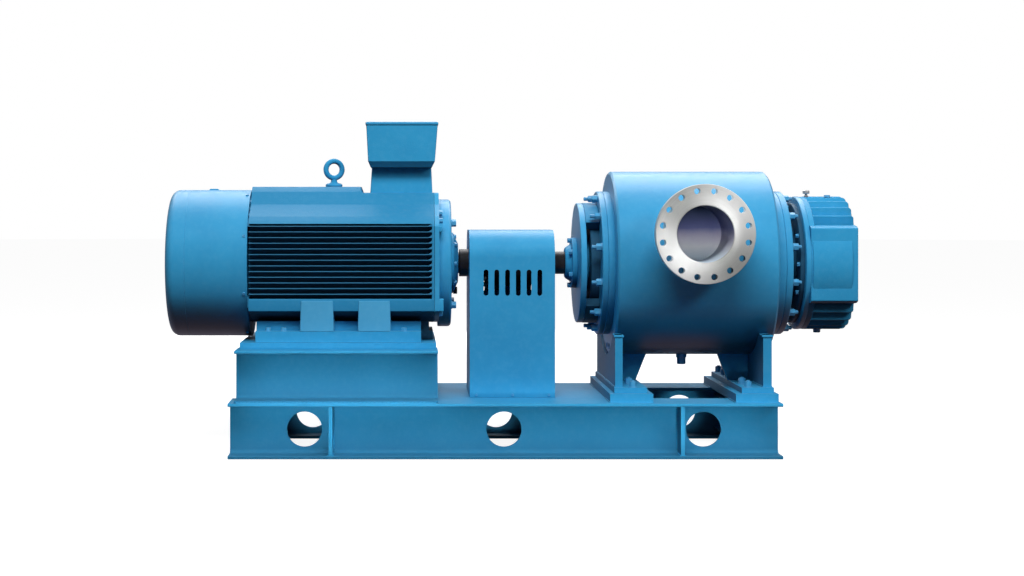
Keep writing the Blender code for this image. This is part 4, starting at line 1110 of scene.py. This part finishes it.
def gear_end():
    low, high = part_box("end_cover")
    radius = (high.z - low.z) / 2
    face = 1.292
    profile = [(low.x, 0.0), (low.x, radius), (face - 0.004, radius), (face, radius - 0.004), (face, 0.198), (face - 0.010, 0.198)]
    profile += [(face - 0.010, 0.0)]
    piece("end_cover_plate", at_shaft(lathe(rounded(profile, 0.003), FINE)), TURNED, stands_for=("end_cover",))
    neck = [(face - 0.009, 0.0), (face - 0.009, 0.197), (face, 0.214), (face + 0.014, 0.200), (high.x, 0.200), (high.x, 0.0)]
    # The neck in the gap before the gear flange takes painted shade
    piece("end_cover_neck", at_shaft(lathe(rounded(neck, 0.003), FINE)), RECESS)
    studs = ring_of(lambda turn: stud_and_nut(0.030, 0.016, turn), STUD_CIRCLE, STUDS, face, 1, 15.0)
    piece("end_cover_studs", studs, BOLTS)
    low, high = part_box("gear_flange")
    radius = (high.z - low.z) / 2
    lip = 1.355
    hub = [(low.x, 0.0), (low.x, 0.282), (low.x + 0.003, 0.285), (lip + 0.001, 0.285), (lip + 0.001, 0.0)]
    # The hub of the gear flange, in the same gap, takes painted shade
    piece("gear_flange_hub", at_shaft(lathe(rounded(hub, 0.003), FINE)), RECESS, stands_for=("gear_flange",))
    profile = [(lip, 0.0), (lip, radius - 0.004), (lip + 0.004, radius), (high.x, radius), (high.x, 0.0)]
    piece("gear_flange_plate", at_shaft(lathe(rounded(profile, 0.003), FINE)), TURNED)
    piece("gear_flange_bolts", ring_of(lambda turn: bolt(0.018, turn), 0.262, 12, low.x, -1), BOLTS)


GEAR_CORE = 0.276
GEAR_FINS = 9
GEAR_PITCH = 11.2


def gear_fin_outline(radius, angle, side):
    """A fin with broad flanks and a narrow round tip, about the vertical."""
    tip = 0.0045
    outline = [(-0.0260, GEAR_CORE + 0.006), (-tip - 0.001, radius - 0.005)]
    outline += [(x, radius - tip + z) for x, z in arc((0, 0), tip, 165.0, 15.0, 6)]
    outline += [(tip + 0.001, radius - 0.005), (0.0260, GEAR_CORE + 0.006), (0.0, GEAR_CORE - 0.012)]
    turn = math.radians(angle)
    turned = [(u * math.cos(turn) + v * math.sin(turn), -u * math.sin(turn) + v * math.cos(turn)) for u, v in outline]
    return [(y, side * z + SHAFT_Z) for y, z in turned]


def gear_case():
    low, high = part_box("gear_case")
    radius = (high.z - low.z) / 2
    curve = 0.032
    start = high.x - curve
    core = [(low.x, 0.0), (low.x, radius - 0.0015), (1.4030, radius - 0.0015), (1.4075, radius - 0.008)]
    core += [(1.4110, GEAR_CORE + 0.008), (1.4160, GEAR_CORE)]
    core += [(start + x, GEAR_CORE - curve + r) for x, r in arc((0, 0), curve, 90.0, 0.0, 8)]
    core += [(high.x, 0.150), (high.x - 0.004, 0.146), (high.x - 0.004, 0.0)]
    shells = [at_shaft(lathe(core, FINE))]
    for side in (-1, 1):
        for number in range(GEAR_FINS):
            angle = (number - (GEAR_FINS - 1) / 2) * GEAR_PITCH
            levels = [(gear_fin_outline(radius, angle, side), 1.400)]
            for step in range(7):
                swing = math.radians(90.0 * step / 6)
                drop = 0.020 * (1 - math.cos(swing))
                levels.append((gear_fin_outline(radius - drop, angle, side), high.x - 0.022 + 0.0205 * math.sin(swing)))
            shells.append(loft(levels, "x"))
    for side in (-1, 1):
        shells.append(side_block(side, low.x, high.x))
        shells.append(side_bulge(side))
    piece("gear_case_casting", together(*shells), CAST, bevel=0.0012, stands_for=("gear_case",))
    plug = [moved(together(washer(0.016, 0.003), hex_body(0.026, 0.008, 0.003)), pointing((1.520, 0.0, SHAFT_Z + radius - 0.004), (0, 0, 1)))]
    plug.append(moved(together(washer(0.019, 0.006), hex_body(0.030, 0.014, 0.006)), pointing((1.471, 0.0, SHAFT_Z - radius + 0.004), (0, 0, -1))))
    piece("gear_case_plugs", together(*plug), BOLTS)
    low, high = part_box("gear_breather")
    stem = [(0.0, 0.0), (0.0, 0.010), (0.004, 0.010), (0.005, 0.006), (0.012, 0.006), (0.013, 0.014), (0.015, 0.016)]
    stem += [(0.026, 0.016), (0.030, 0.012), (high.z - low.z, 0.006), (high.z - low.z, 0.0)]
    vent = moved(lathe(stem, 32), pointing((1.420, 0.0, low.z), (0, 0, 1)))
    piece("breather_cap", vent, ZINC, stands_for=("gear_breather",))


def side_block(side, left, right):
    """The flat block on a side of the gear case, with its right end rounded off."""

    def section(shrink):
        half = [(0.225, 0.183), (0.276, 0.178), (0.303, 0.168)]
        full = half + [(y, -z) for y, z in reversed(half)]
        outline = rounded(full, 0.006, closed=True, steps=3)
        return [(side * (y - shrink * 0.8), z * (1 - shrink) + SHAFT_Z) for y, z in outline]

    levels = [(section(0.0), left)]
    for step in range(6):
        swing = math.radians(90.0 * step / 5)
        levels.append((section(0.008 * (1 - math.cos(swing))), right - 0.008 + 0.0075 * math.sin(swing)))
    return loft(levels, "x")


def side_bulge(side):
    """The barrel shaped cover in the middle of a side block."""

    def section(reach):
        points = []
        for step in range(17):
            z = -0.118 + 0.226 * step / 16
            points.append((side * math.sqrt(reach * reach - z * z), z + SHAFT_Z))
        return points + [(side * 0.285, 0.108 + SHAFT_Z), (side * 0.285, -0.118 + SHAFT_Z)]

    return loft([(section(0.3195), 1.385), (section(0.3225), 1.388), (section(0.3225), 1.5655), (section(0.3195), 1.5686)], "x")


def pump_feet():
    rows = (("left", (0.465, 0.499), 0.545), ("right", (1.139, 1.178), 1.070))
    for word, wall, nut_x in rows:
        node = "pump_foot_" + word
        dress(node, ROLLED, 0.002)
        low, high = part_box(node)
        top = low.z + 0.025
        outer = min(0.450, high.y - 0.022)
        spots = [(nut_x, y, top) for y in (-outer, -outer + 0.155, outer - 0.155, outer)]
        piece("foot_nuts_" + word, row_of(lambda turn: stud_and_nut(0.030, 0.006, turn), spots, (0, 0, 1)), BOLTS)
        caps = []
        beads = []
        for side in (-1, 1):
            caps.append(block((wall[0] - 0.006, wall[1] + 0.006), (side * 0.330, side * 0.404), (high.z - 0.012, high.z)))
            for edge in wall:
                out = 1 if edge == wall[1] else -1
                beads.append(weld((edge, side * 0.02, top), (edge, side * 0.398, top), 0.009, (out, 0, 1)))
        piece("foot_ledges_" + word, together(*caps), ROLLED, bevel=0.003)
        piece("foot_welds_" + word, together(*beads), ROLLED)


# Floor, light and camera
def stage():
    floor = mesh_object("floor", prism(circle((0, 0), 60.0, 96), "z", -0.05, 0.0))
    made = Finish("pale_floor", "", Emission_Strength=1.0, Specular_IOR_Level=0.0)
    grain = made.noise(3.0, 3.0, 0.5)
    tone = made.blend(grain, rgb(0.34, 0.34, 0.34), rgb(0.36, 0.36, 0.36))
    made.set(Base_Color=tone, Emission_Color=rgb(0.90, 0.90, 0.90), Roughness=0.85 + grain * 0.05)
    floor.data.materials.append(made.material)
    floor.visible_diffuse = False
    floor.visible_glossy = False


def gradient(tree, stops):
    """A sky colour by height: stops are (height from -1 to 1, red, green, blue)."""
    place = tree.nodes.new("ShaderNodeTexCoord")
    parts = tree.nodes.new("ShaderNodeSeparateXYZ")
    shift = tree.nodes.new("ShaderNodeMapRange")
    ramp = tree.nodes.new("ShaderNodeValToRGB")
    shift.inputs[1].default_value = -1.0
    shift.inputs[2].default_value = 1.0
    tree.links.new(place.outputs["Generated"], parts.inputs[0])
    tree.links.new(parts.outputs[2], shift.inputs[0])
    tree.links.new(shift.outputs[0], ramp.inputs[0])
    while len(ramp.color_ramp.elements) < len(stops):
        ramp.color_ramp.elements.new(0.5)
    for element, (height, *colour) in zip(ramp.color_ramp.elements, stops):
        element.position = (height + 1.0) / 2
        element.color = (*colour, 1.0)
    background = tree.nodes.new("ShaderNodeBackground")
    tree.links.new(ramp.outputs[0], background.inputs["Color"])
    return background


# Sky colours by height, as the surfaces receive them and as gloss shows them
SKY_SHED = ((-1.0, 0.0, 0.0, 0.0), (-0.05, 0.002, 0.002, 0.003), (0.15, 0.05, 0.05, 0.05), (1.0, 0.30, 0.30, 0.30))
SKY_SEEN = (
    (-1.0, 0.26, 0.20, 0.26),
    (-0.55, 0.30, 0.26, 0.33),
    (-0.06, 0.28, 0.27, 0.30),
    (0.06, 0.26, 0.26, 0.28),
    (0.40, 0.45, 0.45, 0.46),
    (1.0, 0.60, 0.60, 0.60),
)


def lamp(name, place, target, size, power, spread=180.0):
    """A rectangular softbox, or a round one when its two sizes are the same."""
    data = bpy.data.lights.new(name, "AREA")
    data.shape = "RECTANGLE" if size[0] != size[1] else "DISK"
    data.size, data.size_y = size
    data.energy = power
    data.spread = math.radians(spread)
    holder = bpy.data.objects.new(name, data)
    holder.location = place
    holder.rotation_euler = (Vector(target) - Vector(place)).to_track_quat("-Z", "Y").to_euler()
    holder.visible_camera = False
    bpy.context.scene.collection.objects.link(holder)
    return holder


def light():
    """White for the camera, a sky that is dark under the horizon for the surfaces, and softboxes."""
    world = bpy.data.worlds.new("studio")
    bpy.context.scene.world = world
    world.use_nodes = True
    tree = world.node_tree
    path = tree.nodes.new("ShaderNodeLightPath")
    white = tree.nodes["Background"]
    white.inputs["Color"].default_value = (1.0, 1.0, 1.0, 1.0)
    glossy = tree.nodes.new("ShaderNodeMixShader")
    tree.links.new(path.outputs["Is Glossy Ray"], glossy.inputs[0])
    tree.links.new(gradient(tree, SKY_SHED).outputs[0], glossy.inputs[1])
    tree.links.new(gradient(tree, SKY_SEEN).outputs[0], glossy.inputs[2])
    either = tree.nodes.new("ShaderNodeMixShader")
    tree.links.new(path.outputs["Is Camera Ray"], either.inputs[0])
    tree.links.new(glossy.outputs[0], either.inputs[1])
    tree.links.new(white.outputs[0], either.inputs[2])
    tree.links.new(either.outputs[0], tree.nodes["World Output"].inputs["Surface"])
    key = lamp("front_softbox", (-0.1, -5.7, 7.3), (0, 0, 0.8), (6.0, 2.6), 740.0)
    key.visible_glossy = False
    side = lamp("side_softbox", (5.0, -6.0, 4.6), (0.8, 0, 0.9), (1.8, 1.4), 150.0)
    side.visible_glossy = False
    rear = lamp("rear_softbox", (0.0, 3.5, 5.9), (0, 0, 0.9), (10.0, 5.4), 640.0)
    rear.visible_diffuse = False
    fill = lamp("rear_fill", (-1.0, 8.0, 1.6), (0, 0, 0.9), (5.0, 2.2), 290.0)
    fill.visible_glossy = False
    strips = (("skid_strip", -0.04, 0.12, 2.5, 1.15), ("stool_strip", -0.80, 0.35, 0.90, 0.44))
    for name, middle, height, width, power in strips:
        strip = lamp(name, (middle, -2.3, height), (middle, 0.0, height + 0.02), (width, 0.08), power, 13.0)
        strip.visible_glossy = False
    x, _, z = NOZZLE_CENTRE
    lamp("port_light", (x - 0.26, -2.1, z + 0.06), (x, -0.45, z), (0.36, 0.36), 0.080, 4.0)
    bpy.context.scene.view_settings.view_transform = "Standard"


def camera():
    data = bpy.data.cameras.new("camera")
    data.sensor_width = SENSOR
    data.lens = FOCAL_PIXELS / FRAME_WIDTH * SENSOR
    data.shift_x = (FRAME_WIDTH / 2 - AXIS_PIXEL_X) / FRAME_WIDTH
    data.shift_y = -(FRAME_HEIGHT / 2 - AXIS_PIXEL_Y) / FRAME_WIDTH
    data.clip_end = 200.0
    holder = bpy.data.objects.new("camera", data)
    holder.location = EYE
    holder.rotation_euler = (math.radians(90), 0, 0)
    bpy.context.scene.collection.objects.link(holder)
    bpy.context.scene.camera = holder


camera()
skid()
motor_frame()
motor_feet()
fan_cowl()
motor_fan()
drive_shield()
motor_cap()
terminal_box()
eye_bolt()
guard()
coupling()
shafts()
drive_end()
casing()
nozzles()
drain()
gear_end()
gear_case()
pump_feet()
stage()
light()
